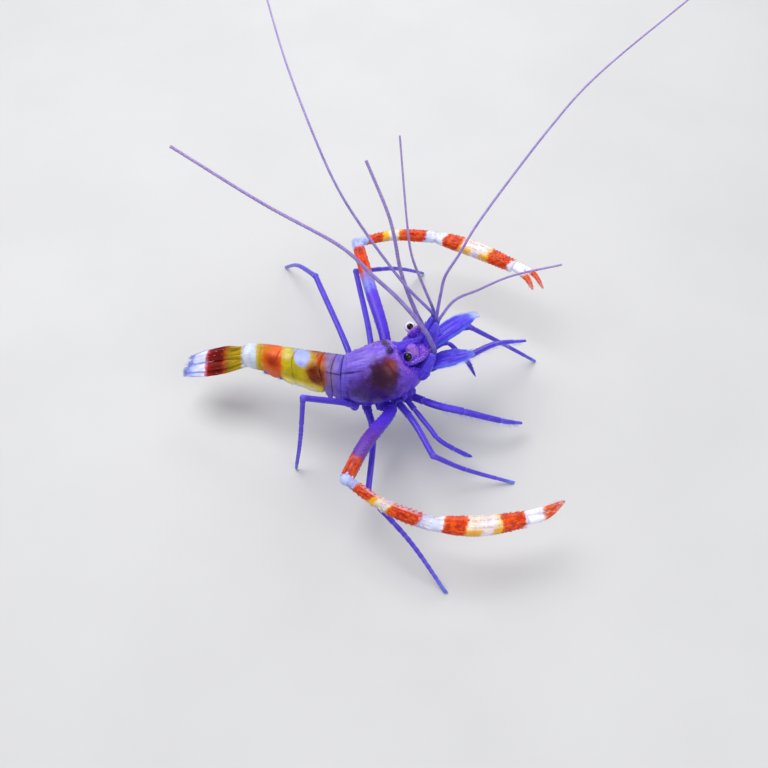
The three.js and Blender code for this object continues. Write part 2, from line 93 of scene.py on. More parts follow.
# Tail fan lines: share of the fan's length, distance across, rise.
TELSON = [(0.0, 0, 0.6), (0.5, 0, 0.75), (0.9, 0, 0.25)]
TAIL_FINS = {"inner": [(0.02, 1.0, -0.2), (0.4, 1.55, 0.1), (0.72, 1.25, 0), (0.94, 0.75, -0.2)],
             "outer": [(0.02, 1.2, -1.0), (0.4, 2.2, -0.65), (0.72, 1.95, -0.5), (0.92, 1.3, -0.6)]}

EYE_ROOTS = {"left": [(7.2, 3.5, 19.4), (6.1, 4.9, 20.0)], "right": [(7.2, 2.0, 19.2), (5.8, 0.7, 19.8)]}
BROWS = {"left": [(4.2, 2.4, 18.5), (6.2, 3.6, 18.8), (8.5, 4.1, 19.4)],
         "right": [(3.2, -0.3, 18.6), (5.9, 0.6, 18.9), (8.7, 2.2, 19.5)]}
EYE_GAZE = {"left": (-0.02, -0.6, 0.8), "right": (-0.3, -0.8, 0.52)}
ROSTRUM = [(2.2, 0.7, 19.9), (7.0, 2.6, 20.5), (10.9, 4.4, 21.1)]
FACE = [(5.0, 1.5, 16.0), (6.6, 2.1, 17.0), (8.4, 3.0, 18.0)]

FEELER_BASES = {
    "antennule_base_left": [(7.6, 3.2, 19.7), (8.3, 3.6, 22.0), (9.2, 4.5, 24.5)],
    "antennule_base_right": [(8.2, 1.9, 19.4), (9.0, 2.2, 21.8), (9.9, 3.3, 24.3)],
    "antenna_base_left": [(6.9, 5.0, 15.6), (7.8, 4.8, 17.6), (8.2, 5.2, 19.2)],
    "antenna_base_right": [(6.4, -1.4, 14.8), (8.2, -0.3, 17.0), (9.4, 0.7, 19.4)],
}
FEELERS = {
    "antennule_upper_left": [(9.1, 4.8, 25.0), (4.1, 5.9, 31.0), (-2.3, 8.7, 40.0), (-6.9, 11.9, 47.0),
                             (-11.0, 17.8, 54.0), (-15.5, 29.5, 59.0), (-19.1, 42.7, 62.0)],
    "antennule_lower_left": [(9.3, 5.5, 25.0), (7.3, 5.7, 31.0), (5.3, 6.5, 37.0), (4.4, 8.5, 43.0),
                             (3.2, 16.2, 54.0)],
    "antennule_upper_right": [(9.8, 3.9, 25.2), (10.3, 5.0, 29.0), (11.0, 5.7, 33.0), (13.1, 6.6, 37.0),
                              (17.0, 9.7, 43.0), (27.8, 20.7, 52.0), (36.3, 28.8, 57.0), (52.7, 43.3, 62.0)],
    "antennule_lower_right": [(10.4, 3.7, 24.9), (12.8, 4.5, 28.5), (16.4, 3.4, 32.0), (21.7, 2.7, 36.0),
                              (29.0, 0.1, 41.0)],
    "antenna_left": [(8.1, 5.3, 19.8), (6.1, 6.6, 24.0), (3.6, 7.7, 32.0), (1.7, 9.6, 42.0),
                     (-2.2, 13.7, 51.0)],
    "antenna_right": [(9.4, 1.0, 20.0), (7.6, 1.4, 24.4), (3.6, 3.0, 29.6), (-1.1, 4.7, 34.0),
                      (-6.8, 6.3, 39.5), (-18.9, 9.1, 46.0), (-33.4, 14.7, 53.0)],
}
SCALES = {
    "antennal_scale_left": [(8.6, 4.2, 17.4), (13.4, 7.2, 19.2), (17.6, 9.6, 20.0)],
    "antennal_scale_right": [(8.2, 0.5, 16.4), (12.4, 1.2, 17.5), (16.6, 2.0, 18.0)],
}
FRONT_LEGS = {
    "mouth_leg_left": [(6.0, 2.4, 10.4), (10.3, 4.1, 12.8), (15.6, 4.9, 13.5), (21.4, 9.8, 11.5),
                       (27.6, 12.9, 9.0)],
    "mouth_leg_right": [(5.6, -1.4, 9.9), (10.1, -4.3, 10.8), (14.8, -4.8, 9.7), (22.0, -4.0, 6.0),
                        (26.1, -2.6, 3.5)],
    "leg_1_left": [(4.4, 3.2, 9.8), (8.6, 7.6, 10.8), (12.2, 9.6, 12.0), (14.9, 7.5, 11.0),
                   (16.4, 6.8, 9.5), (17.7, 4.8, 7.9)],
    "leg_1_right": [(4.4, -1.6, 9.9), (8.5, -7.6, 9.0), (10.6, -10.0, 8.0), (14.3, -9.9, 4.5),
                    (16.6, -10.0, 3.0)],
}
# The last three points are the knee, the middle of the shin and the foot.
STANDING_LEGS = {
    "leg_2_left": [(2.5, 3.0, 9.6), (6.2, 7.6, 12.4), (11.6, 9.9, 14.8), (16.6, 11.8, 14.0),
                   (23.9, 14.1, 6.5), (30.7, 15.5, 0)],
    "leg_2_right": [(2.7, -2.0, 9.8), (6.0, -7.7, 10.2), (9.2, -14.1, 9.0), (15.1, -13.7, 4.4),
                    (24.3, -13.6, 0)],
    "leg_4_left": [(-2.4, 2.4, 9.4), (-1.8, 10.3, 11.5), (-4.8, 27.6, 13.0), (3.0, 34.0, 7.6),
                   (9.2, 40.5, 0)],
    "leg_4_right": [(-2.4, -3.0, 9.0), (-1.2, -9.4, 8.6), (-2.0, -23.4, 10.5), (5.0, -29.6, 6.2),
                    (11.2, -36.0, 0)],
    "leg_5_left": [(-4.6, 2.0, 9.2), (-6.0, 8.0, 12.0), (-12.4, 23.6, 15.6), (-16.6, 33.0, 9.4),
                   (-20.3, 42.4, 0)],
    "leg_5_right": [(-4.6, -3.0, 9.2), (-6.6, -5.4, 13.0), (-12.9, -10.1, 20.0), (-13.9, -11.2, 10.0),
                    (-15.3, -10.6, 0)],
}
# An arm is its thigh of four points, then two more points for the wrist and two for the palm.
CLAWED_LEGS = {
    "left": {
        "arm": [(0.2, 2.8, 9.2), (1.0, 9.8, 12.0), (-2.0, 21.8, 14.5), (-4.6, 32.6, 16.0),
                (3.0, 35.6, 15.2), (11.0, 36.4, 14.0), (18.4, 32.6, 14.3), (26.0, 27.4, 14.5)],
        "fixed": [(26.0, 27.4, 14.5), (28.2, 24.2, 14.4), (28.9, 21.4, 14.0)],
        "moving": [(26.6, 27.6, 14.6), (29.6, 25.2, 14.6), (31.4, 21.9, 14.2)],
    },
    "right": {
        "arm": [(0.2, -3.0, 9.4), (1.9, -5.4, 10.5), (-2.4, -14.3, 13.0), (-5.5, -23.6, 15.5),
                (1.0, -27.8, 13.9), (8.3, -29.9, 12.0), (16.2, -29.9, 11.4), (24.1, -28.3, 11.0)],
        "fixed": [(24.1, -28.6, 11.0), (27.6, -27.4, 10.9), (30.6, -25.3, 11.3)],
        "moving": [(24.1, -27.6, 11.3), (27.5, -26.6, 11.4), (30.3, -24.8, 11.6)],
    },
}

# Limb girths: half widths and half heights at even steps from the root to the end.
ROSTRUM_GIRTHS = [[1.2, 0.9], [0.8, 0.86], [0.42, 0.66], [0.28, 0.46], [0.06, 0.1]]
FACE_GIRTHS = [[2.2, 2.2], [2.1, 1.9], [1.8, 1.5], [1.3, 1.0], [0.5, 0.45]]
MOUTH_LEG_GIRTHS = [[0.7, 0.65], [0.7, 0.56], [0.66, 0.54], [0.5, 0.42], [0.26, 0.22]]
FIRST_LEG_GIRTHS = [[0.5, 0.5], [0.45, 0.45], [0.42, 0.4], [0.4, 0.4], [0.36, 0.34]]
THIGH_GIRTHS = [[0.75, 0.7], [0.62, 0.58], [0.56, 0.52], [0.54, 0.52]]
SHIN_GIRTHS = [[0.5, 0.48], [0.42, 0.4], [0.36, 0.35], [0.3, 0.3]]
CLAW_GIRTHS = {
    "thigh": [[0.9, 0.9], [1.0, 0.9], [1.1, 1.0], [1.25, 1.15], [1.24, 1.15], [1.16, 1.1]],
    "wrist": [[0.8, 0.8], [0.9, 0.86], [1.04, 0.98], [1.24, 1.12], [1.16, 1.08]],
    "palm": [[1.1, 1.02], [1.52, 1.3], [1.73, 1.38], [1.7, 1.35], [1.54, 1.24], [1.28, 1.08]],
    "fixed": [[0.78, 0.7], [0.68, 0.64], [0.58, 0.56], [0.44, 0.44], [0.16, 0.18]],
    "moving": [[0.62, 0.6], [0.6, 0.58], [0.52, 0.52], [0.4, 0.4], [0.14, 0.16]],
}
# The turn from the claws' upper side to the line that their bands start from.
CLAW_ROLL = math.pi / 6
# Feeler bases: where the joints are, and the girths.
FEELER_BASE_FORMS = {
    "antennule": ((0.4, 0.72), [[1.1, 1.0], [1.0, 0.92], [0.84, 0.78], [0.46, 0.42]]),
    "antenna": ((0.34, 0.62, 0.82), [[1.6, 1.55], [1.4, 1.3], [1.05, 1.0], [0.56, 0.54]]),
}
# The length of one ring of a feeler.
FEELER_RING = 0.42

# Rows and columns of the larger surfaces, and the sides of a feeler.
HEAD_GRID = (136, 168)
PLATE_GRID = (46, 132)
CORNEA_GRID = (64, 80)
TAIL_GRID = (84, 64)
FEELER_SIDES = 10
# How many thorns and bristles there are: on one side of the head shell, on one row or rim, on one leg.
HEAD_THORNS = 64
PALM_THORNS = 24
WRIST_THORNS = 17
THIGH_THORNS = 22
FINGER_THORNS = 7
FINGER_TEETH = 13
BRISTLES = {"swimming leg": 30, "tail edge": 90, "tail end": 190, "scale": 190, "mouth leg": 260,
            "first leg": 60, "finger": 90}

# The side of a bristle's patch on its piece's unwrap, and the angle from which an edge stays sharp.
PATCH = 0.003
SHARP_ANGLE = math.radians(50)
# How bristles bend down, as a share of their length.
DROOP = (0.0, 0.0, -0.15)
# Where a ball's first and last rings lie, as shares of the way from pole to pole.
POLES = (0.015, 0.985)
# A direction that no spike has, to find a side from.
ODD_WAY = (0.31, 0.22, 0.93)
# Steps of this share of a turn never meet: they spread thorns evenly.
GOLDEN = 0.6180339887


# ------------------------------------------------------------------ curves and surfaces

def unit(vectors):
    """Each vector divided by its own length."""
    v = np.asarray(vectors, float)
    return v / np.maximum(np.linalg.norm(v, axis=-1, keepdims=True), 1e-12)


def smooth(value, low, high):
    """Rises from 0 at low to 1 at high as 3t^2 - 2t^3."""
    t = np.clip((np.asarray(value, float) - low) / (high - low), 0, 1)
    return t * t * (3 - 2 * t)


def bell(value, centre, width):
    """A bell of height 1 at centre that falls to 1/e at width away: exp(-(distance/width)^2)."""
    return np.exp(-(((np.asarray(value, float) - centre) / width) ** 2))


def spline(points, u):
    """Places and directions at each u of the cubic through the points whose slope at a point is half
    the step between its neighbours. The ends are continued by a mirrored step."""
    p = np.asarray(points, float)
    spans = len(p) - 1
    p = np.vstack([2 * p[0] - p[1], p, 2 * p[-1] - p[-2]])
    at = np.clip(np.asarray(u, float), 0, 1) * spans
    i = np.minimum(at.astype(int), spans - 1)
    t = (at - i)[:, None]
    a, b, c, d = p[i], p[i + 1], p[i + 2], p[i + 3]
    m, n = (c - a) / 2, (d - b) / 2
    cube, square = 2 * b - 2 * c + m + n, 3 * c - 3 * b - 2 * m - n
    return ((cube * t + square) * t + m) * t + b, unit((3 * cube * t + 2 * square) * t + m)


class Line:
    """A curve through points, with side and top directions square to it: side = over x along."""

    def __init__(self, points, over=UP):
        self.points = np.asarray(points, float)
        self.over = np.asarray(over, float)
        steps = spline(self.points, np.linspace(0, 1, 200))[0]
        self.length = np.linalg.norm(np.diff(steps, axis=0), axis=1).sum()

    def at(self, u):
        """Places, along, side and top directions at each u."""
        place, along = spline(self.points, np.atleast_1d(u))
        side = unit(np.cross(self.over, along))
        return place, along, side, np.cross(along, side)

    def one(self, u):
        """The same four at a single u."""
        return [part[0] for part in self.at(u)]


def rows_of(values, u):
    """Rows of numbers spaced evenly from u = 0 to 1, joined by straight lines."""
    values = np.asarray(values, float)
    at = np.linspace(0, 1, len(values))
    return np.stack([np.interp(u, at, column) for column in values.T], -1)


def ring_angles(count):
    """Angles round a ring from the underside: side = cos, top = sin, so the seam lies below."""
    return -math.pi / 2 + 2 * math.pi * np.arange(count) / count


def flank_of(angles):
    """How far round from the top an angle is: 0 on top, 1 underneath, the same on both hands."""
    turned = np.abs(np.angle(np.exp(1j * (np.asarray(angles) - math.pi / 2))))
    return turned / math.pi


def sweep(line, u, half_widths, half_heights, angles, push=0.0):
    """Rings along a line: place + side * cos * half width + top * sin * half height, each radius
    grown by push, which may differ at every point."""
    place, _, side, top = line.at(u)
    push = np.broadcast_to(push, (len(u), len(angles)))
    across = (np.asarray(half_widths)[:, None] + push) * np.cos(angles)
    rise = (np.asarray(half_heights)[:, None] + push) * np.sin(angles)
    return place[:, None] + side[:, None] * across[..., None] + top[:, None] * rise[..., None]


def tube_faces(rows, columns):
    """Quads between neighbouring rings, and a fan of triangles round a hub over each end."""
    i = np.arange(rows - 1)[:, None] * columns
    j = np.arange(columns)[None, :]
    k = (j + 1) % columns
    quads = np.stack([i + j, i + k, i + columns + k, i + columns + j], -1).reshape(-1, 4)
    j, k = j[0], k[0]
    hub, last = rows * columns, (rows - 1) * columns
    front = np.stack([np.full(columns, hub), k, j], -1)
    back = np.stack([np.full(columns, hub + 1), last + j, last + k], -1)
    return quads, np.vstack([front, back])


class Shape:
    """Closed surfaces gathered into one mesh, with named values at every vertex:
    along is the place along the piece, flank how far round from the top, mark a free mask."""

    NAMES = ("along", "flank", "mark")

    def __init__(self):
        self.points, self.quads, self.tris, self.patches, self.count = [], [], [], [], 0
        self.values = {name: [] for name in self.NAMES}

    def tubes(self, rings, patch=None, **values):
        """Adds a stack of tubes, rings of shape (tubes, rows, columns, 3). A value has that shape
        without the last axis, or one that spreads to it. patch is each tube's place on its skin's
        unwrap, which the tube covers with a patch PATCH across."""
        rings = np.asarray(rings, float)
        if rings.ndim == 3:
            rings = rings[None]
            values = {k: np.asarray(v, float)[None] if np.ndim(v) else v for k, v in values.items()}
        tubes, rows, columns = rings.shape[:3]
        hubs = np.stack([rings[:, 0].mean(1), rings[:, -1].mean(1)], 1)
        points = np.concatenate([rings.reshape(tubes, -1, 3), hubs], 1)
        quads, tris = tube_faces(rows, columns)
        starts = (self.count + np.arange(tubes) * (rows * columns + 2))[:, None, None]
        self.quads.append((quads[None] + starts).reshape(-1, 4))
        self.tris.append((tris[None] + starts).reshape(-1, 3))
        self.points.append(points.reshape(-1, 3))
        self.count += points.shape[0] * points.shape[1]
        for name in self.NAMES:
            value = np.broadcast_to(values.get(name, 0.0), (tubes, rows, columns))
            ends = np.stack([value[:, 0].mean(1), value[:, -1].mean(1)], 1)
            self.values[name].append(np.concatenate([value.reshape(tubes, -1), ends], 1).ravel())
        if patch is not None:
            r, c = np.meshgrid(np.linspace(0, 1, rows), np.linspace(0, 1, columns), indexing="ij")
            inside = np.vstack([np.stack([c, r], -1).reshape(-1, 2), [[0.5, 0], [0.5, 1]]]) * PATCH
            self.patches.append((np.asarray(patch)[:, None] + inside[None]).reshape(-1, 2))

    def make(self, name, material, slot, *nodes):
        """The mesh object, in the frame's metres, riding on the body in place of its nodes."""
        mesh = bpy.data.meshes.new(name)
        points = (np.vstack(self.points) + SHIFT) * MM
        quads, tris = np.vstack(self.quads), np.vstack(self.tris)
        corners = np.concatenate([quads.ravel(), tris.ravel()])
        starts = np.concatenate([np.arange(len(quads)) * 4, quads.size + np.arange(len(tris)) * 3])
        mesh.vertices.add(len(points))
        mesh.vertices.foreach_set("co", points.astype(np.float32).ravel())
        mesh.loops.add(len(corners))
        mesh.loops.foreach_set("vertex_index", corners.astype(np.int32))
        mesh.polygons.add(len(starts))
        mesh.polygons.foreach_set("loop_start", starts.astype(np.int32))
        for key, parts in self.values.items():
            attribute = mesh.attributes.new(key, "FLOAT", "POINT")
            attribute.data.foreach_set("value", np.concatenate(parts).astype(np.float32))
        if self.patches:
            layer = mesh.uv_layers.new(name="OFBake")
            places = np.vstack(self.patches)[corners]
            layer.uv.foreach_set("vector", places.astype(np.float32).ravel())
        mesh.update(calc_edges=True)
        mesh.shade_smooth()
        mesh.set_sharp_from_angle(angle=SHARP_ANGLE)
        mesh.materials.append(material)
        piece = bpy.data.objects.new(name, mesh)
        bpy.context.scene.collection.objects.link(piece)
        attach(piece, "root")
        if nodes:
            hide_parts(*nodes)

    def skin(self, node, material, slot):
        """The mesh object that stands for one node of the frame."""
        self.make(node + "_skin", material, slot, node)


def spikes(roots, directions, lengths, radii, t, taper, bow, sides, bend=0.0, hook=0.0):
    """Rings of spikes: the middle at t lies at root + length * (direction * t + bend * bow), with the
    radius times the taper there. hook is a bend square to the direction."""
    roots, directions = np.atleast_2d(roots), unit(np.atleast_2d(directions))
    lengths, radii = (np.broadcast_to(v, len(roots)).astype(float)[:, None] for v in (lengths, radii))
    side = unit(np.cross(directions, ODD_WAY))
    top = np.cross(directions, side)
    angles = 2 * math.pi * np.arange(sides) / sides
    centre = roots[:, None] + directions[:, None] * (lengths * t)[..., None]
    centre = centre + (bend + top * hook)[:, None] * (lengths * bow)[..., None]
    return centre[:, :, None] + (radii * taper)[..., None, None] * (
        side[:, None, None] * np.cos(angles)[:, None] + top[:, None, None] * np.sin(angles)[:, None])


def thorns(shape, roots, directions, lengths, radii, along, mark, flank=0.0, sides=6, hook=0.0):
    """Spines, sunk a little at the root: the radius falls as 1 - t^1.4 and the bow is t^2."""
    t = np.array([-0.25, 0.0, 0.3, 0.62, 0.97])
    out = np.clip(t, 0, 1)
    rings = spikes(roots, directions, lengths, radii, t, 1 - 0.97 * out ** 1.4, out ** 2, sides, hook=hook)
    spread = (np.broadcast_to(v, len(rings))[:, None, None] for v in (along, flank, mark))
    shape.tubes(rings, **dict(zip(Shape.NAMES, spread)))


def hairs(shape, roots, directions, lengths, bend, patch, radius, along):
    """Thin bristles of three sides: the radius falls evenly to a third at the tip, the bow is t^2."""
    t = np.array([-0.03, 0.35, 0.7, 1.0])
    rings = spikes(roots, directions, lengths, radius, t, 1 - 0.67 * t.clip(0), t * np.abs(t), 3, bend)
    shape.tubes(rings, patch=patch, along=along[:, None, None], mark=t.clip(0)[None, :, None])


def stations(count, joints, reach):
    """Even steps from 0 to 1 with more of them close to each joint."""
    near = [j + reach * k for j in joints for k in (-2, -1, -0.5, -0.1, 0.1, 0.5, 1, 2)]
    return np.unique(np.clip(np.concatenate([np.linspace(0, 1, count), near]), 0, 1))


def articles(u, joints, flare, pinch, reach):
    """Growth of a jointed limb: each article widens by flare towards its far end and starts narrower
    by pinch, so a joint is a socket with a step. Also a mask that is 1 in the joints."""
    edges = np.concatenate([[-0.2], np.sort(joints), [1.2]])
    k = np.clip(np.searchsorted(edges, u, side="right") - 1, 0, len(edges) - 2)
    before, after = u - edges[k], edges[k + 1] - u
    growth = 1 + flare * np.exp(-after / (3 * reach)) - pinch * np.exp(-before / (1.6 * reach))
    mask = np.exp(-before / reach) * (k > 0)
    return growth, mask


def limb(shape, points, girths, columns, density, joints=(), flare=0.16, pinch=0.22, reach=0.012,
         over=UP, last=1.0, offset=0.0, scale=1.0, foot=False, swell=None, keel=0.0, dome=0.4,
         painted_shade=0.0, roll=0.0):
    """An articulated rod: oval rings along the line up to last, density of them to a millimetre, grown
    by its articles. along runs from offset over a length of scale. keel adds ridges at the four corners,
    swell a growth of u. dome is how far from each end the rod rounds off, as a share of its girth there,
    painted_shade is taken off the mark, which the claws' finish paints as shade, and roll turns the top
    that flank counts from. A foot's lowest points are laid on the floor."""
    line = Line(points, over)
    u = stations(max(int(line.length * density), 8), joints, reach)
    cap = np.minimum(dome * rows_of(girths, np.array([0.0, last])).mean(1) / (line.length * last), 0.3)
    arc = 1 - np.cos(np.linspace(0.05, math.pi / 2, 7))
    u = np.concatenate([u, cap[0] * arc, 1 - cap[1] * arc])
    u = np.unique(np.clip(u, cap[0] * arc[0], 1 - cap[1] * arc[0]))
    start, end = (np.sqrt(np.clip(1 - (1 - near / size).clip(0) ** 2, 0.0, 1))
                  for near, size in zip((u, 1 - u), cap))
    u = last * u
    growth, mask = articles(u, joints, flare, pinch, reach)
    if swell is not None:
        growth = growth * swell(u)
    angles = ring_angles(columns)
    half = rows_of(girths, u) * growth[:, None] * (start * end)[:, None]
    push = keel * half.min(1)[:, None] * np.cos(4 * angles + math.pi)[None]
    rings = sweep(line, u, half[:, 0], half[:, 1], angles, push)
    if foot:
        rings[..., 2] = np.maximum(rings[..., 2], 0.0)
    shape.tubes(rings, along=offset + scale * u[:, None], flank=flank_of(angles + roll),
                mark=mask[:, None] - painted_shade)


def on_limb(points, girths, u, angles):
    """Points on a limb's surface and their outward directions, at each u and angle."""
    place, along, side, top = Line(points).at(u)
    cos, sin = np.cos(angles)[:, None], np.sin(angles)[:, None]
    half = rows_of(girths, u)
    skin = place + side * (half[:, :1] * cos) + top * (half[:, 1:] * sin)
    return skin, unit(side * cos + top * sin), along


def limb_thorns(shape, points, girths, u, angle, lean, length, radius, sunk=0.05, **look):
    """Thorns on a limb at each u and angle, leaning from straight out by lean along the limb."""
    skin, out, along = on_limb(points, girths, u, np.broadcast_to(angle, len(u)))
    thorns(shape, skin - out * sunk, out + along * lean, length, radius, **look)


def limb_hairs(fringe, points, girths, u, angle, lean, length):
    """Bristles on a limb at each u and angle, sunk a little, leaning and bent to its end."""
    skin, out, along = on_limb(points, girths, u, angle)
    patch = np.stack([(angle / (2 * math.pi)) % 1, u], -1) * (1 - PATCH)
    hairs(fringe, skin - out * 0.04, out + along * lean, length, along * 0.2, patch, 0.03, u)


# ------------------------------------------------------------------ trunk surfaces

# The midline as a curve and by x, and the head shell's stations as a smooth row.
MID = Line(MIDLINE)
MID_U = np.linspace(0, 1, 2001)
MID_X = spline(MIDLINE, MID_U)[0][:, 0]
SHELL = spline(CARAPACE, np.linspace(0, 1, 400))[0]
CARAPACE_FRONT, CARAPACE_BACK = CARAPACE[0][0], CARAPACE[-1][0]


def trunk_at(x):
    """The midline's place, along, side and top where x is, for an array of any shape."""
    x = np.asarray(x, float)
    found = MID.at(np.interp(-x.ravel(), -MID_X, MID_U))
    return [part.reshape(x.shape + (3,)) for part in found]


def carapace_skin(x, angle, scale=1.0, back=0.0):
    """The head shell where x and the angle round it are: an oval ring whose underside is flattened and
    drawn in, with the brow set back above, a keel into the brow spine, the neck groove slanting
    forward and down, two side furrows and rolled rims."""
    x, angle, scale, back = np.broadcast_arrays(x, angle, scale, back)
    place, along, side, top = trunk_at(x)
    half_width, half_height = (np.interp(-x, -SHELL[:, 0], SHELL[:, k]) / 2 for k in (1, 2))
    across, rise = np.cos(angle), np.sin(angle)
    flank = flank_of(angle)
    turn = flank * math.pi
    floor = -CARAPACE_FLOOR + 0.05 * np.logaddexp(0, (rise + CARAPACE_FLOOR) / 0.05)
    drawn_in = 0.16 * (1 - smooth(np.abs(across), 0.42, 0.64)) * smooth(-rise, 0.6, 0.74)
    keel = 0.34 * bell(turn, 0, 0.13) * smooth(x, 0.6, 5.0)
    neck_groove = 0.1 * bell(x, 0.4 + 4.0 * flank, 0.36) * (1 - smooth(flank, 0.55, 0.68))
    furrow = 0.10 * bell(turn, 0.62, 0.07) * smooth(-x, -0.4, 1.0) * (1 - smooth(-x, 4.6, 5.4))
    back_rim = 0.13 * bell(x, CARAPACE_BACK + 0.14, 0.16) - 0.12 * bell(x, CARAPACE_BACK + 0.6, 0.2)
    lower_rim = 0.12 * bell(flank, 0.735, 0.018) - 0.08 * bell(flank, 0.69, 0.02)
    dents = 0.035 * np.sin(5.1 * turn + 0.9 * x) * np.sin(1.7 * x + 2.0)
    push = keel - neck_groove - furrow + back_rim + lower_rim + dents
    near_front = np.clip((x - BROW_START) / (CARAPACE_FRONT - BROW_START), 0, None)
    set_back = BROW_SLANT * near_front * np.clip(rise + 0.1, 0, None)
    set_back = set_back + near_front ** 3 * (0.55 * bell(turn, 0.78, 0.24) - 0.9 * bell(turn, 0, 0.22)
                                             - 0.35 * bell(turn, 1.35, 0.14))
    return (place + side * (across * (half_width * scale + push))[..., None]
            + top * ((floor + drawn_in) * (half_height * scale + push))[..., None]
            + along * (set_back + back)[..., None])


def outward(skin, a, b):
    """The outward direction of a surface of two parameters: the cross product of its two slopes."""
    step = 0.01
    back = skin(a + step, b) - skin(a - step, b)
    around = skin(a, b + step) - skin(a, b - step)
    return unit(np.cross(back, around))


def outline_weights(count, controls):
    """The matrix that carries a closed row of control points to count points on the smooth closed
    curve through them, whose slope at a point is half the step between its neighbours."""
    at = np.arange(count) * controls / count
    i, f = at.astype(int), at % 1
    parts = [(-f + 2 * f ** 2 - f ** 3) / 2, (2 - 5 * f ** 2 + 3 * f ** 3) / 2,
             (f + 4 * f ** 2 - 3 * f ** 3) / 2, (-f ** 2 + f ** 3) / 2]
    weights = np.zeros((count, controls))
    for step, part in zip((-1, 0, 1, 2), parts):
        weights[np.arange(count), (i + step) % controls] += part
    return weights


def plate_outlines(flap, count):
    """Closed outlines of an abdomen plate for each hang of its side flaps: an arched back, a rounded
    lobe down each side and a shallow arched belly. Starts and ends under the belly."""
    flap = np.atleast_1d(flap)
    side = [(0.0, -0.58, 0.0), (0.3, -0.6, 0.0), (0.54, -0.62, -0.5), (0.69, -0.72, -1.0),
            (0.84, -0.64, -0.75)]
    lower = [(np.full(len(flap), across), rise + hang * flap) for across, rise, hang in side]
    left = [(-across, rise) for across, rise in lower[:0:-1]]
    back = [(np.full(len(flap), math.cos(a)), np.full(len(flap), math.sin(a)))
            for a in np.radians(np.linspace(-22, 202, 11))]
    controls = np.array(lower + back + left).transpose(2, 0, 1)
    return np.einsum("mk,nkd->nmd", outline_weights(count, controls.shape[1]), controls)


def plate_rings(index):
    """One abdomen plate: outlines carried along the midline, swung forward on the flanks. The front
    slips under the plate before it, the back edge stands a little proud and folds in on itself."""
    front = PLATES[index - 1] if index else TRUNK_END
    back = PLATES[index]
    length = front[0] - back[0]
    rows, columns = PLATE_GRID
    inward, shift = np.array([(1.0, 0.0)] * rows + PLATE_FOLD).T
    t = np.clip(np.arange(len(inward)) / (rows - 1), 0, 1)
    x = front[0] + PLATE_TUCK + (0.02 - length - PLATE_TUCK) * t
    u = np.clip((front[0] - x) / length, 0, 1)
    width, height = (front[k] + (back[k] - front[k]) * u for k in (1, 2))
    grow = 0.88 + 0.115 * smooth(x, front[0] + 0.2, front[0] - 0.3 - 0.08 * length)
    grow = grow + 0.02 * np.sin(math.pi * u) + 0.02 * smooth(t, 0.9, 0.99)
    lobe = np.sin(math.pi * u) ** 0.8
    scallop = 0.09 * np.abs(np.sin(math.pi * x / 1.25)) * smooth(-x, 13.4, 14.2) * smooth(x, -17.5, -17.1)
    flap = (back[3] + 0.06) * lobe + scallop - (0.16 if index < 5 else 0.0) * (1 - lobe)
    groove = 1 - 0.018 * bell(u, 0.24, 0.035)
    shape = plate_outlines(0.0, columns)[0]
    flank = flank_of(np.arctan2(shape[:, 1], shape[:, 0]))
    lead = (LEADS[index] + (LEADS[index + 1] - LEADS[index]) * u)[:, None] * smooth(flank, 0.1, 0.52)
    outline = plate_outlines(flap, columns) * (grow * groove * inward)[:, None, None]
    place, along, side, top = trunk_at(x)
    rings = (place[:, None] + side[:, None] * (outline[..., :1] * width[:, None, None] / 2)
             + top[:, None] * (outline[..., 1:] * height[:, None, None] / 2)
             + along[:, None] * (shift[:, None] - lead)[..., None])
    return rings, flank


FAN_PLACE, _, FAN_SIDE, FAN_TOP = trunk_at(PLATES[-1][0])


def fan_points(line, hand):
    """A tail fan line's points: share of the way to the tail's tip, distance across, rise."""
    line = np.asarray(line, float)
    base = FAN_PLACE + (np.array(TAIL_TIP) - FAN_PLACE) * line[:, :1]
    return base + FAN_SIDE * (hand * line[:, 1:2]) + FAN_TOP * line[:, 2:]


def blade_skin(points, widths, thicknesses, u, angle, ribs, ruffle=0.0, over=UP, tooth=0.0, edge=1):
    """A leaf: a thin oval carried along a line. Its half width follows the widths and rounds off at the
    end, ribs raise lengthwise ridges over its faces, and tooth notches one edge like a saw."""
    found = Line(points, over).at(u.ravel())
    place, _, side, top = (part.reshape(u.shape + (3,)) for part in found)
    half, thick = (np.interp(u, np.linspace(0, 1, len(v)), v) for v in (widths, thicknesses))
    half = half * np.sqrt(np.clip(1 - ((u - 0.86) / 0.14).clip(0) ** 2, 0.01, 1))
    c, s = np.cos(angle), np.sin(angle)
    across = np.sign(c) * np.abs(c) ** 0.8
    saw = 1 - tooth * ((u * 9) % 1) * smooth(edge * c, 0.55, 0.95) * smooth(u, 0.12, 0.2)
    rise = np.sign(s) * np.abs(s) ** 0.9 * thick
    rise = rise * (1 + 0.55 * (0.5 + 0.5 * np.cos(ribs * 2 * math.pi * across)) * (1 - c ** 4))
    wave = ruffle * np.sin(7 * u * math.pi) * across ** 2
    return place + side * (half * saw * across)[..., None] + top * (rise + wave)[..., None]


def blade(shape, points, widths, thicknesses, rows, columns, **look):
    """A leaf's rings added to a shape, with x as its place along the body."""
    u, angle = np.meshgrid(np.linspace(0, 1, rows), ring_angles(columns), indexing="ij")
    rings = blade_skin(points, widths, thicknesses, u, angle, **look)
    shape.tubes(rings, along=rings[..., 0], flank=flank_of(angle))
    return rings


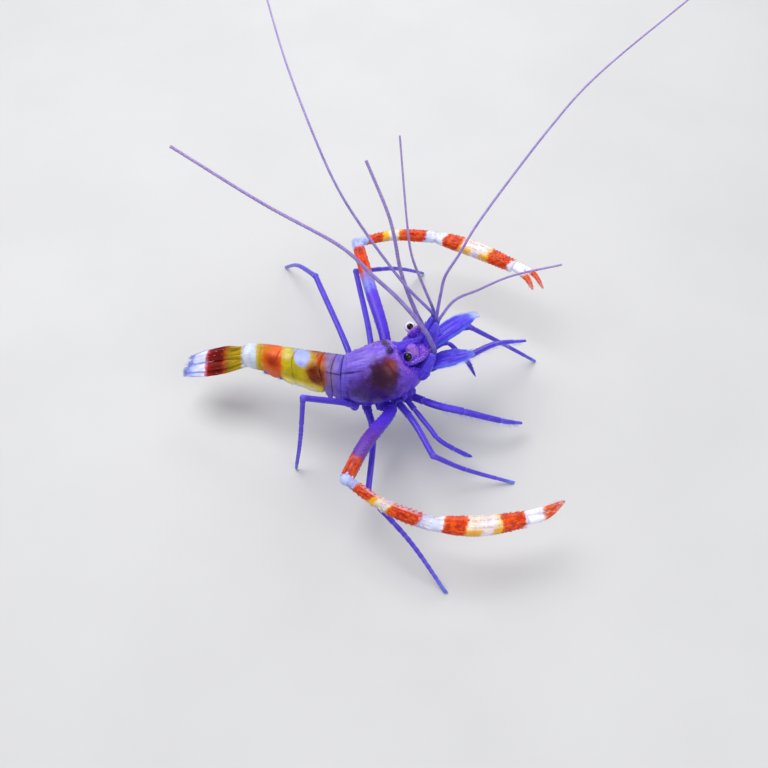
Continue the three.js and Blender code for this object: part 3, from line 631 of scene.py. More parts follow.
def edge_hairs(shape, rings, span, count, lengths, chosen, seed, radius=0.02):
    """Bristles along a leaf's rim: roots at the chosen columns of its rings, each pointing out from the
    leaf's middle line and on along it, a little uneven, and drooping."""
    rng = np.random.default_rng(seed)
    rows, columns = rings.shape[:2]
    row = (span[0] + (span[1] - span[0]) * np.linspace(0, 1, count)) * (rows - 1)
    column = rng.choice(chosen, count)
    low = np.minimum(row.astype(int), rows - 2)
    part = (row - low)[:, None]
    roots = rings[low, column] * (1 - part) + rings[low + 1, column] * part
    middle = rings[low].mean(1) * (1 - part) + rings[low + 1].mean(1) * part
    forward = unit(rings[low + 1].mean(1) - rings[low].mean(1))
    out = unit(roots - middle) + forward * rng.uniform(0.6, 1.1, (count, 1))
    out = out + rng.normal(0, 0.08, (count, 3))
    length = np.interp(np.linspace(0, 1, count), np.linspace(0, 1, len(lengths)), lengths)
    patch = np.stack([column / columns, row / rows], -1) * (1 - PATCH)
    hairs(shape, roots, out, length * rng.uniform(0.8, 1.15, count), forward * 0.3 + DROOP,
          patch, radius, row / rows)


# ------------------------------------------------------------------ colours and settings

def paint(tint):
    """A screen colour of three numbers from 0 to 255 as linear light. A linear colour of four stays."""
    if len(tint) == 4:
        return tuple(tint)
    c = np.array(tint, float) / 255
    return (*np.where(c <= 0.04045, c / 12.92, ((c + 0.055) / 1.055) ** 2.4), 1.0)


def colour(name, about, tint):
    return FloatVectorProperty(name=name, description=about, subtype="COLOR", size=4, min=0, max=1,
                               default=paint(tint))


def length(name, about, millimetres):
    return FloatProperty(name=name, description=about, default=millimetres * MM, min=0, unit="LENGTH")


class ShrimpColours(bpy.types.PropertyGroup):
    violet: colour("Limb violet", "Colour of the legs and the front of the head", (78, 44, 206))
    violet_pale: colour("Pale violet", "Colour of joints and thin limb ends", (134, 120, 240))
    lilac: colour("Shell lilac", "Colour of the clear head shell", (128, 98, 222))
    # Painted sheen: the pale streaks laid along the top of the head shell.
    lilac_painted_sheen: colour("Pale lilac", "Sheen colour on top of the head shell", (176, 152, 236))
    organ: colour("Organ maroon", "The dark mass seen through the head shell", (64, 14, 54))
    stomach: colour("Stomach red", "The red-brown mass behind the eyes", (132, 40, 30))
    yellow: colour("Yellow", "Yellow of the abdomen", (206, 176, 18))
    orange: colour("Orange", "Orange of the abdomen and the claws' bands", (236, 92, 8))
    red: colour("Red", "Red of the bands", (196, 26, 6))
    # Dark red: the round spot on the abdomen, and painted shade on the tail's red band.
    red_dark: colour("Dark red", "Round spot and tail band in shade", (102, 12, 2))
    white: colour("White", "White of the bands", (244, 244, 254))
    feeler: colour("Feeler", "Pinkish lilac of the long feelers", (170, 148, 198))
    cornea: colour("Cornea", "Black of the eyes", (6, 5, 10))


class ShrimpSizes(bpy.types.PropertyGroup):
    claw_thorn: length("Claw thorn", "Length of a thorn on the clawed legs", 0.5)
    shell_thorn: length("Shell thorn", "Length of a thorn on the head shell", 0.22)
    feeler_root: length("Feeler root", "Radius of a long feeler at its root", 0.36)
    feeler_tip: length("Feeler tip", "Radius of a long feeler near its tip", 0.19)
    bristle: length("Bristle", "Length of a bristle on the tail fan's rim", 0.85)


class ShrimpStage(bpy.types.PropertyGroup):
    key: FloatProperty(name="Key light", description="Power of the large light above",
                       default=1.0, min=0, unit="POWER")
    fill: FloatProperty(name="Fill light", description="Strength of the light from all round",
                        default=0.38, min=0)
    floor_grey: FloatProperty(name="Floor", description="How pale the floor is",
                              default=0.6, min=0, max=1, subtype="FACTOR")


# ------------------------------------------------------------------ materials

class Graph:
    """Adds nodes to a tree: a value given for a socket is set on it, a socket is linked to it."""

    def __init__(self, tree):
        self.tree = tree

    def add(self, kind, inputs=None, **settings):
        node = self.tree.nodes.new("ShaderNode" + kind)
        for key, value in settings.items():
            setattr(node, key, value)
        for key, value in (inputs or {}).items():
            if isinstance(value, bpy.types.NodeSocket):
                self.link(value, node.inputs[key])
            else:
                node.inputs[key].default_value = value
        return node

    def link(self, source, target):
        self.tree.links.new(source, target)

    def math(self, operation, a, b=0.0):
        return self.add("Math", {0: a, 1: b}, operation=operation).outputs[0]

    def times(self, first, *others):
        """The product of its values."""
        for other in others:
            first = self.math("MULTIPLY", first, other)
        return first

    def mix(self, mask, a, b, blend="MIX"):
        return self.add("Mix", {0: mask, 6: a, 7: b}, data_type="RGBA", blend_type=blend).outputs[2]

    def value(self, name):
        return self.add("Attribute", attribute_name=name, attribute_type="GEOMETRY").outputs["Fac"]

    def fade(self, value, low, high):
        """Rises smoothly from 0 at low to 1 at high, and falls where low is the greater."""
        return self.add("MapRange", {0: value, 1: low, 2: high}, interpolation_type="SMOOTHSTEP").outputs[0]

    def span(self, value, rise, fall):
        """1 between a rise and a fall, each with the places where it is 0 and 1, or 1 and 0."""
        return self.times(self.fade(value, *rise), self.fade(value, *fall))

    def share(self, value, low, high, first=0.0, last=1.0):
        """Goes evenly from first at low to last at high."""
        return self.add("MapRange", {0: value, 1: low, 2: high, 3: first, 4: last}).outputs[0]

    def noise(self, place, grain, detail=4.0):
        return self.add("TexNoise", {"Vector": place, "Scale": grain, "Detail": detail}).outputs["Fac"]

    def cells(self, place, grain, randomness=1.0):
        """Distance to the nearest of scattered points."""
        inputs = {"Vector": place, "Scale": grain, "Randomness": randomness}
        return self.add("TexVoronoi", inputs).outputs["Distance"]

    def stray(self, place, grain, reach):
        """Noise about 0, reach wide."""
        return self.times(self.math("SUBTRACT", self.noise(place, grain), 0.5), reach)

    def bump(self, strength, depth, height):
        return self.add("Bump", {"Strength": strength, "Distance": depth, "Height": height}).outputs[0]

    def ramp(self, value, stops):
        """Colours at places from 0 to 1."""
        node = self.add("ValToRGB", {0: value})
        band = node.color_ramp
        while len(band.elements) < len(stops):
            band.elements.new(0.5)
        for element, (position, tint) in zip(band.elements, sorted(stops, key=lambda stop: stop[0])):
            element.position = position
            element.color = paint(tint)
        return node.outputs[0]


def new_group(name, inputs, outputs):
    """An empty shader node group. A socket is a number with its default, or a vector where that is None."""
    tree = bpy.data.node_groups.new(name, "ShaderNodeTree")
    for way, sockets in (("INPUT", inputs), ("OUTPUT", outputs)):
        for socket, default in sockets.items():
            kind = "NodeSocketVector" if default is None else "NodeSocketFloat"
            made = tree.interface.new_socket(name=socket, in_out=way, socket_type=kind)
            if default is not None:
                made.default_value = default
    return Graph(tree), tree.nodes.new("NodeGroupInput").outputs, tree.nodes.new("NodeGroupOutput").inputs


@cache
def cuticle_group():
    """Fine relief of a wet shell: pits and soft dents as a normal, and mottling as a value."""
    g, given, out = new_group("Cuticle", {"Vector": None, "Grain": 5200.0, "Depth": 0.00002, "Strength": 0.5},
                              {"Normal": None, "Mottle": 0.0})
    where, grain = given["Vector"], given["Grain"]
    fine = g.noise(where, grain, 3.0)
    pits = g.times(g.fade(g.cells(where, g.times(grain, 0.45)), 0.0, 0.45), 0.7)
    broad = g.noise(where, g.times(grain, 0.12))
    height = g.math("ADD", g.math("ADD", fine, pits), broad)
    g.link(g.bump(given["Strength"], given["Depth"], height), out["Normal"])
    g.link(broad, out["Mottle"])
    return g.tree


@cache
def patch_group():
    """A soft oval patch on a shell, by the place along the body and round it, with a ragged rim."""
    g, given, out = new_group("Soft Patch", {
        "Along": 0.0, "Flank": 0.0, "Centre Along": 0.0, "Centre Flank": 0.0, "Reach Along": 1.0,
        "Reach Flank": 0.1, "Edge": 0.3, "Ragged": 0.2, "Vector": None, "Grain": 900.0}, {"Mask": 0.0})
    a, b = (g.math("DIVIDE", g.math("SUBTRACT", given[way], given["Centre " + way]), given["Reach " + way])
            for way in ("Along", "Flank"))
    far = g.math("SQRT", g.math("ADD", g.times(a, a), g.times(b, b)))
    far = g.math("ADD", far, g.times(g.stray(given["Vector"], given["Grain"], given["Ragged"]), 2.0))
    high, low = (g.math(way, 1.0, given["Edge"]) for way in ("ADD", "SUBTRACT"))
    g.link(g.fade(far, high, low), out["Mask"])
    return g.tree


@cache
def streak_group():
    """Thin streaks that run lengthwise, from noise drawn out along the piece."""
    g, given, out = new_group("Lengthwise Streaks", {
        "Along": 0.0, "Flank": 0.0, "Length": 1.0, "Count": 40.0}, {"Mask": 0.0})
    cell = g.add("CombineXYZ", {0: g.times(given["Along"], given["Length"]),
                                1: g.times(given["Flank"], given["Count"])})
    g.link(g.fade(g.noise(cell.outputs[0], 1.0, 3.0), 0.42, 0.62), out["Mask"])
    return g.tree


@cache
def waver_group():
    """A place along a piece made uneven, so that the edge of a colour band wanders and frays."""
    g, given, out = new_group("Wandering Edge", {"Along": 0.0, "Vector": None, "Grain": 1500.0, "Reach": 0.1},
                              {"Along": 0.0})
    stray = g.stray(given["Vector"], given["Grain"], given["Reach"])
    g.link(g.math("ADD", given["Along"], stray), out["Along"])
    return g.tree


@cache
def speck_group():
    """Small round pale specks scattered by cells."""
    g, given, out = new_group("Specks", {"Vector": None, "Grain": 2600.0, "Size": 0.22}, {"Mask": 0.0})
    distance = g.cells(given["Vector"], given["Grain"], 0.75)
    g.link(g.fade(distance, given["Size"], g.times(given["Size"], 0.55)), out["Mask"])
    return g.tree


class Finish(Graph):
    """A material under way: its base colour so far, and the places and values it is drawn from."""

    where = cached_property(lambda self: self.add("TexCoord").outputs["Object"])
    along = cached_property(lambda self: self.value("along"))
    flank = cached_property(lambda self: self.value("flank"))
    mark = cached_property(lambda self: self.value("mark"))

    def __init__(self, name):
        self.material = bpy.data.materials.new(name)
        self.material.use_nodes = True
        self.material.node_tree.nodes.clear()
        super().__init__(self.material.node_tree)
        self.base = None

    def lay(self, tint, mask, strength):
        """Lays a tint over the base colour where the mask is."""
        if strength != 1.0:
            mask = self.times(mask, strength)
        self.base = self.mix(mask, self.base, paint(tint))

    def group(self, tree, inputs):
        return self.add("Group", inputs, node_tree=tree).outputs[0]

    def patch(self, centre, reach, edge, ragged, grain=900.0):
        return self.group(patch_group(), {
            "Along": self.along, "Flank": self.flank, "Centre Along": centre[0], "Centre Flank": centre[1],
            "Reach Along": reach[0], "Reach Flank": reach[1], "Edge": edge, "Ragged": ragged,
            "Vector": self.where, "Grain": grain})

    def patches(self, rows):
        """Lays soft patches: tint, strength, centre, reach, edge, raggedness, grain."""
        for tint, strength, *shape in rows:
            self.lay(tint, self.patch(*shape), strength)

    def streaks(self, length, count):
        return self.group(streak_group(), {
            "Along": self.along, "Flank": self.flank, "Length": length, "Count": count})

    def waver(self, reach, grain, along=None):
        return self.group(waver_group(), {
            "Along": along or self.along, "Vector": self.where, "Grain": grain, "Reach": reach})

    def specks(self, grain, size):
        return self.group(speck_group(), {"Vector": self.where, "Grain": grain, "Size": size})

    def body_ramp(self, along, stops):
        """A ramp whose stops are given in millimetres along the body, from the first to the last."""
        low, high = stops[0][0], stops[-1][0]
        places = [((x - low) / (high - low), tint) for x, tint in stops]
        return self.ramp(self.share(along, low, high), places)

    def bands(self, along, stops):
        """Colours at places from 0 to 4, by two ramps side by side, since a ramp holds 32 stops."""
        halves = []
        for low, high in ((0.0, 2.0), (2.0, 4.0)):
            inside = [(min(max((x - low) / (high - low), 0.0), 1.0), tint) for x, tint in stops
                      if low - 0.15 <= x <= high + 0.15]
            halves.append(self.ramp(self.share(along, low, high), inside))
        return self.mix(self.math("GREATER_THAN", along, 2.0), *halves)

    def end(self, inputs):
        """Ends the material with its surface."""
        self.link(self.add("BsdfPrincipled", inputs).outputs[0], self.add("OutputMaterial").inputs[0])
        return self.material

    def shell(self, grain=5200.0, depth=0.00002, roughness=(0.26, 0.44), subsurface=0.2,
              spread=0.0006, coat=0.08, strength=0.45, glow=(0.7, 0.5, 1.0)):
        """Ends the material: a wet shell of its base colour, with uneven gloss, relief and a soft glow."""
        relief = self.add("Group", {"Vector": self.where, "Grain": grain, "Depth": depth,
                                    "Strength": strength}, node_tree=cuticle_group()).outputs
        dark = self.mix(1.0, self.base, (0.8, 0.77, 0.86, 1), "MULTIPLY")
        return self.end({
            "Base Color": self.mix(self.fade(relief["Mottle"], 0.3, 0.7), dark, self.base),
            "Roughness": self.share(relief["Mottle"], 0.3, 0.7, *roughness), "Normal": relief["Normal"],
            "Subsurface Weight": subsurface, "Subsurface Scale": spread, "Subsurface Radius": glow,
            "Coat Weight": coat, "Coat Roughness": 0.1, "Specular IOR Level": 0.26, "IOR": 1.45})


# ------------------------------------------------------------------ finishes

WARM_GLOW = (1.0, 0.6, 0.4)


def head_finish(colours):
    """The clear lilac head shell: dark organs showing through, pale streaks on top as a painted sheen, white
    specks.
    """
    f = Finish("Head Cuticle")
    f.base = f.body_ramp(f.waver(1.6, 700.0), [
        (-6.3, (112, 92, 208)), (-4.0, (116, 90, 214)), (-1.0, colours.lilac), (2.2, (126, 86, 226)),
        (4.2, (106, 62, 224)), (6.5, (84, 44, 218))])
    f.lay((70, 34, 196), f.fade(f.flank, 0.5, 0.74), 0.85)
    # Pale lilac streaks along the top of the shell: painted sheen.
    top = f.times(f.streaks(0.35, 34.0), f.fade(f.flank, 0.34, 0.08))
    f.lay(colours.lilac_painted_sheen, top, 0.4)
    f.lay((84, 54, 176), f.streaks(0.5, 60.0), 0.35)
    f.patches([
        ((52, 12, 104), 0.95, (-1.4, 0.47), (3.9, 0.17), 0.5, 0.5),
        ((70, 34, 120), 0.6, (-3.0, 0.34), (2.0, 0.13), 0.7, 0.8),
        (colours.organ, 0.97, (0.3, 0.28), (2.3, 0.18), 0.42, 0.6),
        ((92, 30, 40), 0.85, (1.3, 0.24), (1.5, 0.1), 0.7, 0.6),
        (colours.stomach, 0.85, (2.3, 0.19), (0.9, 0.075), 0.7, 0.5),
        ((40, 10, 44), 0.75, (-0.4, 0.3), (1.3, 0.09), 0.7, 0.9, 1400.0),
        ((52, 30, 80), 0.85, (-4.6, 0.2), (2.4, 0.012), 0.6, 0.5),
        ((38, 10, 70), 0.95, (2.9, 0.05), (0.9, 0.05), 0.6, 0.4),
        ((190, 120, 216), 0.5, (4.5, 0.22), (0.8, 0.14), 0.6, 0.8)])
    front = f.times(f.specks(2700.0, 0.27), f.fade(f.along, 2.4, 3.8), f.fade(f.flank, 0.5, 0.3))
    f.lay((214, 180, 244), front, 0.75)
    return f.shell(depth=0.00003, roughness=(0.28, 0.46), subsurface=0.15, strength=0.35)


def abdomen_finish(colours):
    """Six plates in bands: clear lilac, beige, yellow with a white saddle and a red spot, orange,
    yellow and white. The lower edges run yellow where the bands are yellow."""
    f = Finish("Abdomen Cuticle")
    f.base = f.body_ramp(f.waver(0.5, 1300.0), [
        (-5.5, (112, 92, 206)), (-7.4, (116, 94, 196)), (-8.1, (130, 108, 168)), (-9.5, (132, 104, 142)),
        (-9.8, (142, 92, 56)), (-10.1, (172, 118, 12)), (-12.4, colours.yellow), (-15.0, (178, 166, 10)),
        (-16.6, (200, 180, 18)), (-17.3, (206, 178, 16)), (-17.7, colours.orange), (-20.4, (224, 100, 8)),
        (-21.0, (206, 144, 14)), (-22.0, (196, 174, 24)), (-22.5, (206, 224, 244)), (-23.8, (228, 240, 255)),
        (-24.9, (206, 222, 244)), (-25.3, (200, 190, 110))])
    clear_side = f.times(f.fade(f.flank, 0.40, 0.58), f.fade(f.along, -10.4, -9.2))
    f.lay((110, 74, 206), clear_side, 0.85)
    clear = f.fade(f.along, -10.2, -9.4)
    dark_line = f.times(f.patch((-8.0, 0.215), (3.2, 0.014), 0.6, 0.4), clear)
    f.lay((60, 38, 82), dark_line, 0.85)
    f.patches([
        ((222, 212, 120), 0.6, (-16.4, 0.05), (0.8, 0.1), 0.6, 0.35),
        ((168, 184, 246), 1.0, (-13.9, 0.06), (1.45, 0.145), 0.2, 0.8, 600.0),
        (colours.red, 0.8, (-10.5, 0.05), (0.8, 0.09), 0.7, 0.4),
        ((152, 66, 4), 0.9, (-11.2, 0.29), (1.8, 0.2), 0.45, 0.4),
        (colours.red_dark, 1.0, (-11.3, 0.3), (1.35, 0.145), 0.35, 0.4),
        ((212, 132, 10), 0.8, (-20.2, 0.1), (1.0, 0.16), 0.7, 0.5),
        ((196, 46, 2), 0.9, (-19.3, 0.26), (1.6, 0.17), 0.5, 0.7),
        ((144, 22, 0), 0.8, (-19.2, 0.28), (0.8, 0.08), 0.8, 0.6),
        # A paler pinkish orange on top of the fifth plate: painted highlight.
        ((240, 104, 50), 0.6, (-18.7, 0.06), (1.5, 0.07), 0.6, 0.4)])
    yellow_edge = f.times(f.fade(f.flank, 0.46, 0.54), f.span(f.along, (-17.8, -16.8), (-9.6, -10.6)))
    f.lay((240, 222, 20), yellow_edge, 0.9)
    pale_edge = f.times(f.fade(f.flank, 0.55, 0.6), f.span(f.along, (-17.4, -16.6), (-10.6, -11.6)))
    f.lay((252, 246, 190), pale_edge, 0.75)
    f.lay((84, 60, 160), f.times(f.streaks(0.6, 46.0), clear), 0.25)
    warm = f.times(f.streaks(0.7, 52.0), f.fade(f.along, -9.8, -10.8))
    f.lay((150, 112, 20), warm, 0.25)
    f.lay((150, 130, 220), f.fade(f.flank, 0.68, 0.8), 0.6)
    return f.shell(spread=0.0005, glow=WARM_GLOW)


def tail_finish(colours):
    """The fan: olive yellow with dark lengthwise streaks, a red band with painted shade darkening its
    sides, a white band and a bluish clear rim."""
    f = Finish("Tail Fan")
    f.base = f.body_ramp(f.waver(0.9, 1500.0), [
        (-23.5, (214, 220, 238)), (-24.9, (216, 218, 220)), (-25.3, colours.yellow), (-27.6, (170, 138, 10)),
        (-28.3, (204, 84, 8)), (-28.8, (172, 22, 4)), (-31.4, (176, 16, 2)), (-31.9, (206, 130, 150)),
        (-32.2, colours.white), (-34.4, (212, 222, 255)), (-35.2, (150, 166, 240)), (-36.4, (104, 122, 220))])
    dark = f.times(f.streaks(0.35, 30.0), f.fade(f.along, -29.0, -27.8), f.fade(f.along, -24.9, -25.6))
    f.lay((104, 84, 14), dark, 0.8)
    # Dark streaks over the red band and a dark patch on its sides: painted shade.
    red_painted_shade = f.times(f.streaks(0.5, 14.0), f.span(f.along, (-31.9, -31.2), (-28.2, -29.0)))
    f.lay(colours.red_dark, red_painted_shade, 0.6)
    f.lay((84, 6, 0), f.patch((-29.8, 0.25), (1.5, 0.3), 0.6, 0.6), 0.75)
    blue = f.times(f.streaks(0.5, 40.0), f.fade(f.along, -32.0, -33.0))
    f.lay((172, 190, 246), blue, 0.3)
    f.lay(colours.white, f.mark, 0.35)
    return f.shell(roughness=(0.24, 0.42), spread=0.0004, glow=WARM_GLOW)


def limb_finish(name, colours, root, tip, pale_joint=0.6, blue=0.0):
    """Violet limbs with lighter and darker lengthwise streaks, and pale joint skins."""
    f = Finish(name)
    f.base = f.ramp(f.waver(0.2, 500.0), [(0.0, root), (1.0, tip)])
    f.lay((116, 104, 238), f.streaks(1.3, 9.0), 0.45)
    f.lay((54, 24, 168), f.streaks(2.1, 15.0), 0.5)
    f.lay(colours.violet_pale, f.mark, pale_joint)
    f.lay((140, 190, 250), f.fade(f.along, 0.9, 1.0), blue)
    return f.shell(grain=6500.0, subsurface=0.25, strength=0.4)


def claw_finish(colours):
    """Claws banded along their length. The borders slant round the claw, wander and fray; the red is
    streaked with dark, the bands that are not red or orange are painted bluish underneath as painted
    shade, and thorns are pale. Below 0, mark is painted shade on the right claw: a duller thigh and
    wrist, with a painted highlight along the top of the wrist."""
    f = Finish("Claw Cuticle")
    slant = f.math("ADD", f.along, f.times(f.math("SUBTRACT", f.flank, 0.5), 0.05))
    along = f.waver(0.1, 1100.0, slant)
    violet, pale, elbow, joint = (78, 46, 212), (128, 140, 236), (178, 196, 250), (206, 218, 252)
    white, red, orange = colours.white[:], colours.red[:], colours.orange[:]
    deep, yellow = (216, 48, 2), (250, 190, 20)
    stops = [
        (0.0, violet), (0.30, violet), (0.60, (96, 62, 218)), (0.65, pale), (0.72, (160, 120, 190)),
        (0.76, deep), (0.91, deep), (0.94, elbow), (1.11, elbow), (1.13, orange), (1.17, deep), (1.31, deep),
        (1.34, yellow), (1.38, yellow), (1.40, (240, 232, 210)), (1.51, (240, 236, 226)), (1.53, yellow),
        (1.55, orange), (1.60, deep), (1.84, deep), (1.87, joint), (2.11, white), (2.13, orange),
        (2.16, deep),
        (2.32, deep), (2.34, orange), (2.37, (244, 236, 214)), (2.64, white), (2.68, (250, 222, 150)),
        (2.71, orange), (2.75, deep), (2.94, deep), (2.965, white), (3.34, white), (3.44, orange),
        (3.7, (222, 84, 52)), (4.0, (228, 128, 112))]
    f.base = f.bands(along, stops)
    # Painted shade: below 0, mark gives the right claw's thigh a duller violet and red, and its wrist a
    # duller red.
    painted_shade = f.times(f.mark, -1.0)
    plain = f.span(along, (0.4, 0.56), (0.79, 0.73))
    f.lay((104, 56, 168), f.times(plain, painted_shade), 0.95)
    f.lay((120, 24, 44), f.times(f.fade(along, 0.7, 0.78), painted_shade), 0.5)
    is_warm = [(x, (1, 1, 1, 1) if tint in (red, deep, orange) else (0, 0, 0, 1)) for x, tint in stops]
    warm = f.add("SeparateColor", {0: f.bands(along, is_warm)}).outputs[0]
    f.lay((140, 10, 2), f.times(f.streaks(9.0, 12.0), warm), 0.5)
    f.lay((248, 104, 2), f.times(f.streaks(16.0, 7.0), warm), 0.6)
    # A pale pinkish line along the top of the right wrist only: painted highlight.
    painted_top_highlight = f.times(f.fade(f.flank, 0.17, 0.1), f.span(along, (1.12, 1.2), (1.86, 1.8)), painted_shade)
    f.lay((222, 176, 190), painted_top_highlight, 1.5)
    pale_band = f.span(along, (2.36, 2.42), (2.7, 2.64))
    f.lay((240, 150, 80), f.times(f.streaks(2.0, 14.0), pale_band), 0.4)
    for low, high in ((1.3, 1.42), (2.33, 2.52), (2.6, 2.73)):
        strip = f.span(along, (low, low + 0.03), (high, high - 0.03))
        f.lay((252, 190, 20), f.times(strip, f.fade(f.flank, 0.4, 0.5)), 0.95)
    # Bluish undersides on the bands that are not red or orange: painted shade.
    painted_cool_shade = f.times(f.fade(f.flank, 0.55, 0.85), f.math("SUBTRACT", 1.0, warm))
    f.lay((150, 160, 240), painted_cool_shade, 0.4)
    f.lay((250, 206, 170), f.mark, 0.45)
    return f.shell(subsurface=0.12, spread=0.0004, coat=0.05, strength=0.5, glow=(1.0, 0.5, 0.35))


def feeler_finish(colours):
    """Feelers: violet at the root, paler and pinker towards the tip, with a darker line in each ring."""
    f = Finish("Feelers")
    f.base = f.ramp(f.waver(0.2, 300.0), [
        (0.0, (90, 70, 220)), (0.1, (118, 104, 216)), (0.3, (146, 130, 202)), (1.0, colours.feeler)])
    f.lay((102, 82, 176), f.mark, 0.45)
    f.lay((190, 178, 226), f.streaks(30.0, 5.0), 0.35)
    return f.shell(grain=8000.0, roughness=(0.3, 0.5), subsurface=0.3, spread=0.0003, coat=0.05,
                   strength=0.3)


def scale_finish():
    """Feeler scales: deep violet with fine ribs, teal at the edges and bluish white at the tip."""
    f = Finish("Feeler Scale")
    f.base = f.ramp(f.waver(0.2, 900.0), [
        (0.0, (72, 38, 214)), (0.55, (70, 42, 216)), (0.8, (90, 92, 222)), (0.95, (190, 222, 252)),
        (1.0, (214, 236, 255))])
    f.lay((98, 82, 236), f.streaks(2.0, 26.0), 0.5)
    f.lay((70, 120, 214), f.mark, 0.8)
    return f.shell(roughness=(0.2, 0.36), subsurface=0.3, coat=0.15, strength=0.35)


def stalk_finish():
    """Eyestalks: pinkish lilac with crowded white dots, violet at the root."""
    f = Finish("Eyestalk")
    f.base = f.ramp(f.waver(0.15, 900.0), [
        (0.0, (84, 46, 220)), (0.35, (112, 60, 218)), (0.7, (158, 92, 214)), (1.0, (196, 146, 232))])
    f.lay((240, 222, 255), f.specks(3300.0, 0.27), 0.8)
    f.lay((92, 50, 190), f.streaks(5.0, 20.0), 0.3)
    return f.shell(grain=7000.0, roughness=(0.14, 0.3), subsurface=0.3, coat=0.3, strength=0.35)


def cornea_finish(colours):
    """Corneas: black and glossy with fine facets, ringed with white where they meet the stalk. Where
    mark is 1, on the right eye, the ring is laid over with violet as painted shade.
    """
    f = Finish("Cornea")
    edge = f.waver(0.02, 1800.0)
    f.base = f.ramp(edge, [
        (0.0, (16, 12, 34)), (0.1, colours.cornea), (0.178, colours.cornea), (0.2, (150, 130, 210)),
        (0.222, (252, 250, 255)), (0.36, (240, 230, 252)), (0.42, (186, 130, 232)), (1.0, (180, 120, 230))])
    # Painted shade: the right eye's pale ring is laid over with violet.
    f.lay((140, 80, 206), f.times(f.fade(edge, 0.18, 0.2), f.mark), 0.9)
    f.lay((60, 46, 110), f.specks(5200.0, 0.16), 0.35)
    return f.end({
        "Base Color": f.base, "Roughness": f.share(edge, 0.18, 0.3, 0.1, 0.3),
        "Normal": f.bump(0.35, 0.00001, f.cells(f.where, 14000.0, 0.25)),
        "Coat Weight": 0.2, "Coat Roughness": 0.04, "Specular IOR Level": 0.3, "IOR": 1.45})


def bristle_finish(name, root, tip):
    """Bristles, from the colour at the root to the colour at the tip."""
    f = Finish(name)
    base = f.ramp(f.mark, [(0.0, root), (1.0, tip)])
    dark = f.mix(1.0, base, (0.8, 0.8, 0.9, 1), "MULTIPLY")
    base = f.mix(f.fade(f.noise(f.where, 600.0, 2.0), 0.35, 0.65), dark, base)
    return f.end({"Base Color": base, "Roughness": 0.45, "IOR": 1.5})


# ------------------------------------------------------------------ pieces

def ball(shape, centre, axis, radius, rows, columns, squash=1.0, **values):
    """A ball with its poles on axis: along is 0 at the axis's pole and 1 at the far one, and squash
    is its length along the axis as a share of its width."""
    theta = np.linspace(*POLES, rows) * math.pi
    along = -unit(axis)
    side = unit(np.cross(UP if abs(along[2]) < 0.95 else (0, 1, 0), along))
    top = np.cross(along, side)
    angles = ring_angles(columns)
    ring = side * np.cos(angles)[:, None] + top * np.sin(angles)[:, None]
    rings = (np.asarray(centre) - along * (np.cos(theta) * radius * squash)[:, None, None]
             + ring[None] * (np.sin(theta) * radius)[:, None, None])
    values.setdefault("along", (theta / math.pi)[:, None])
    shape.tubes(rings, **values)


def build_head_shell(sizes, colours):
    """The head shell: its skin over x and angle, folded in at the front edge and the back rim, with
    forward thorns on a golden spiral, longer ones on the front edge and a row on the keel. The dark
    mass starts lower on the left flank, so flank is drawn down there."""
    shape = Shape()
    rows, columns = HEAD_GRID
    angles = ring_angles(columns)
    folds = np.array(HEAD_FRONT_FOLD + [(1.0, 0.0)] * rows + HEAD_BACK_FOLD)
    x = np.linspace(CARAPACE_FRONT, CARAPACE_BACK, rows)
    x = np.pad(x, (len(HEAD_FRONT_FOLD), len(HEAD_BACK_FOLD)), "edge")
    rings = carapace_skin(x[:, None], angles[None], folds[:, :1], folds[:, 1:])
    flank = flank_of(angles)
    flank = flank - 0.13 * bell(flank, 0.22, 0.12) * (np.cos(angles) < 0)
    shape.tubes(rings, along=x[:, None], flank=flank)

    thorn = sizes.shell_thorn / MM
    rng = np.random.default_rng(SEED)
    i = np.arange(HEAD_THORNS)
    spread = 5.0 - 10.4 * (i + 0.5) / HEAD_THORNS + rng.normal(0, 0.22, HEAD_THORNS)
    turn = 0.24 + 1.6 * (i * GOLDEN % 1) + rng.normal(0, 0.06, HEAD_THORNS)
    length = thorn * (0.55 + 0.6 * (i * 0.37 % 1))
    spots = [(spread, turn, length), (spread + 0.09, -turn, length)]
    keel = np.array([1.2, 2.2, 3.2, 4.1, 4.9])
    spots.append((keel, 0 * keel, np.full(len(keel), 1.3 * thorn)))
    edge = np.array([0.46, 1.12, 1.62, 2.05])
    rim = np.full(len(edge), CARAPACE_FRONT - 0.2)
    spots += [(rim, hand * edge, thorn * np.array([1.7, 2.3, 1.7, 1.4])) for hand in (1, -1)]
    x, turn, length = (np.concatenate(part) for part in zip(*spots))
    angle = math.pi / 2 - turn
    lean = np.where(x > CARAPACE_FRONT - 0.3, 0.12, 0.55)[:, None]
    direction = outward(carapace_skin, x, angle) * lean - trunk_at(x)[1]
    thorns(shape, carapace_skin(x, angle), direction, length, 0.1 + 0.1 * length, along=x,
           flank=flank_of(angle), mark=0.5, hook=0.1)
    shape.make("head_shell", head_finish(colours), "head_shell", "carapace")


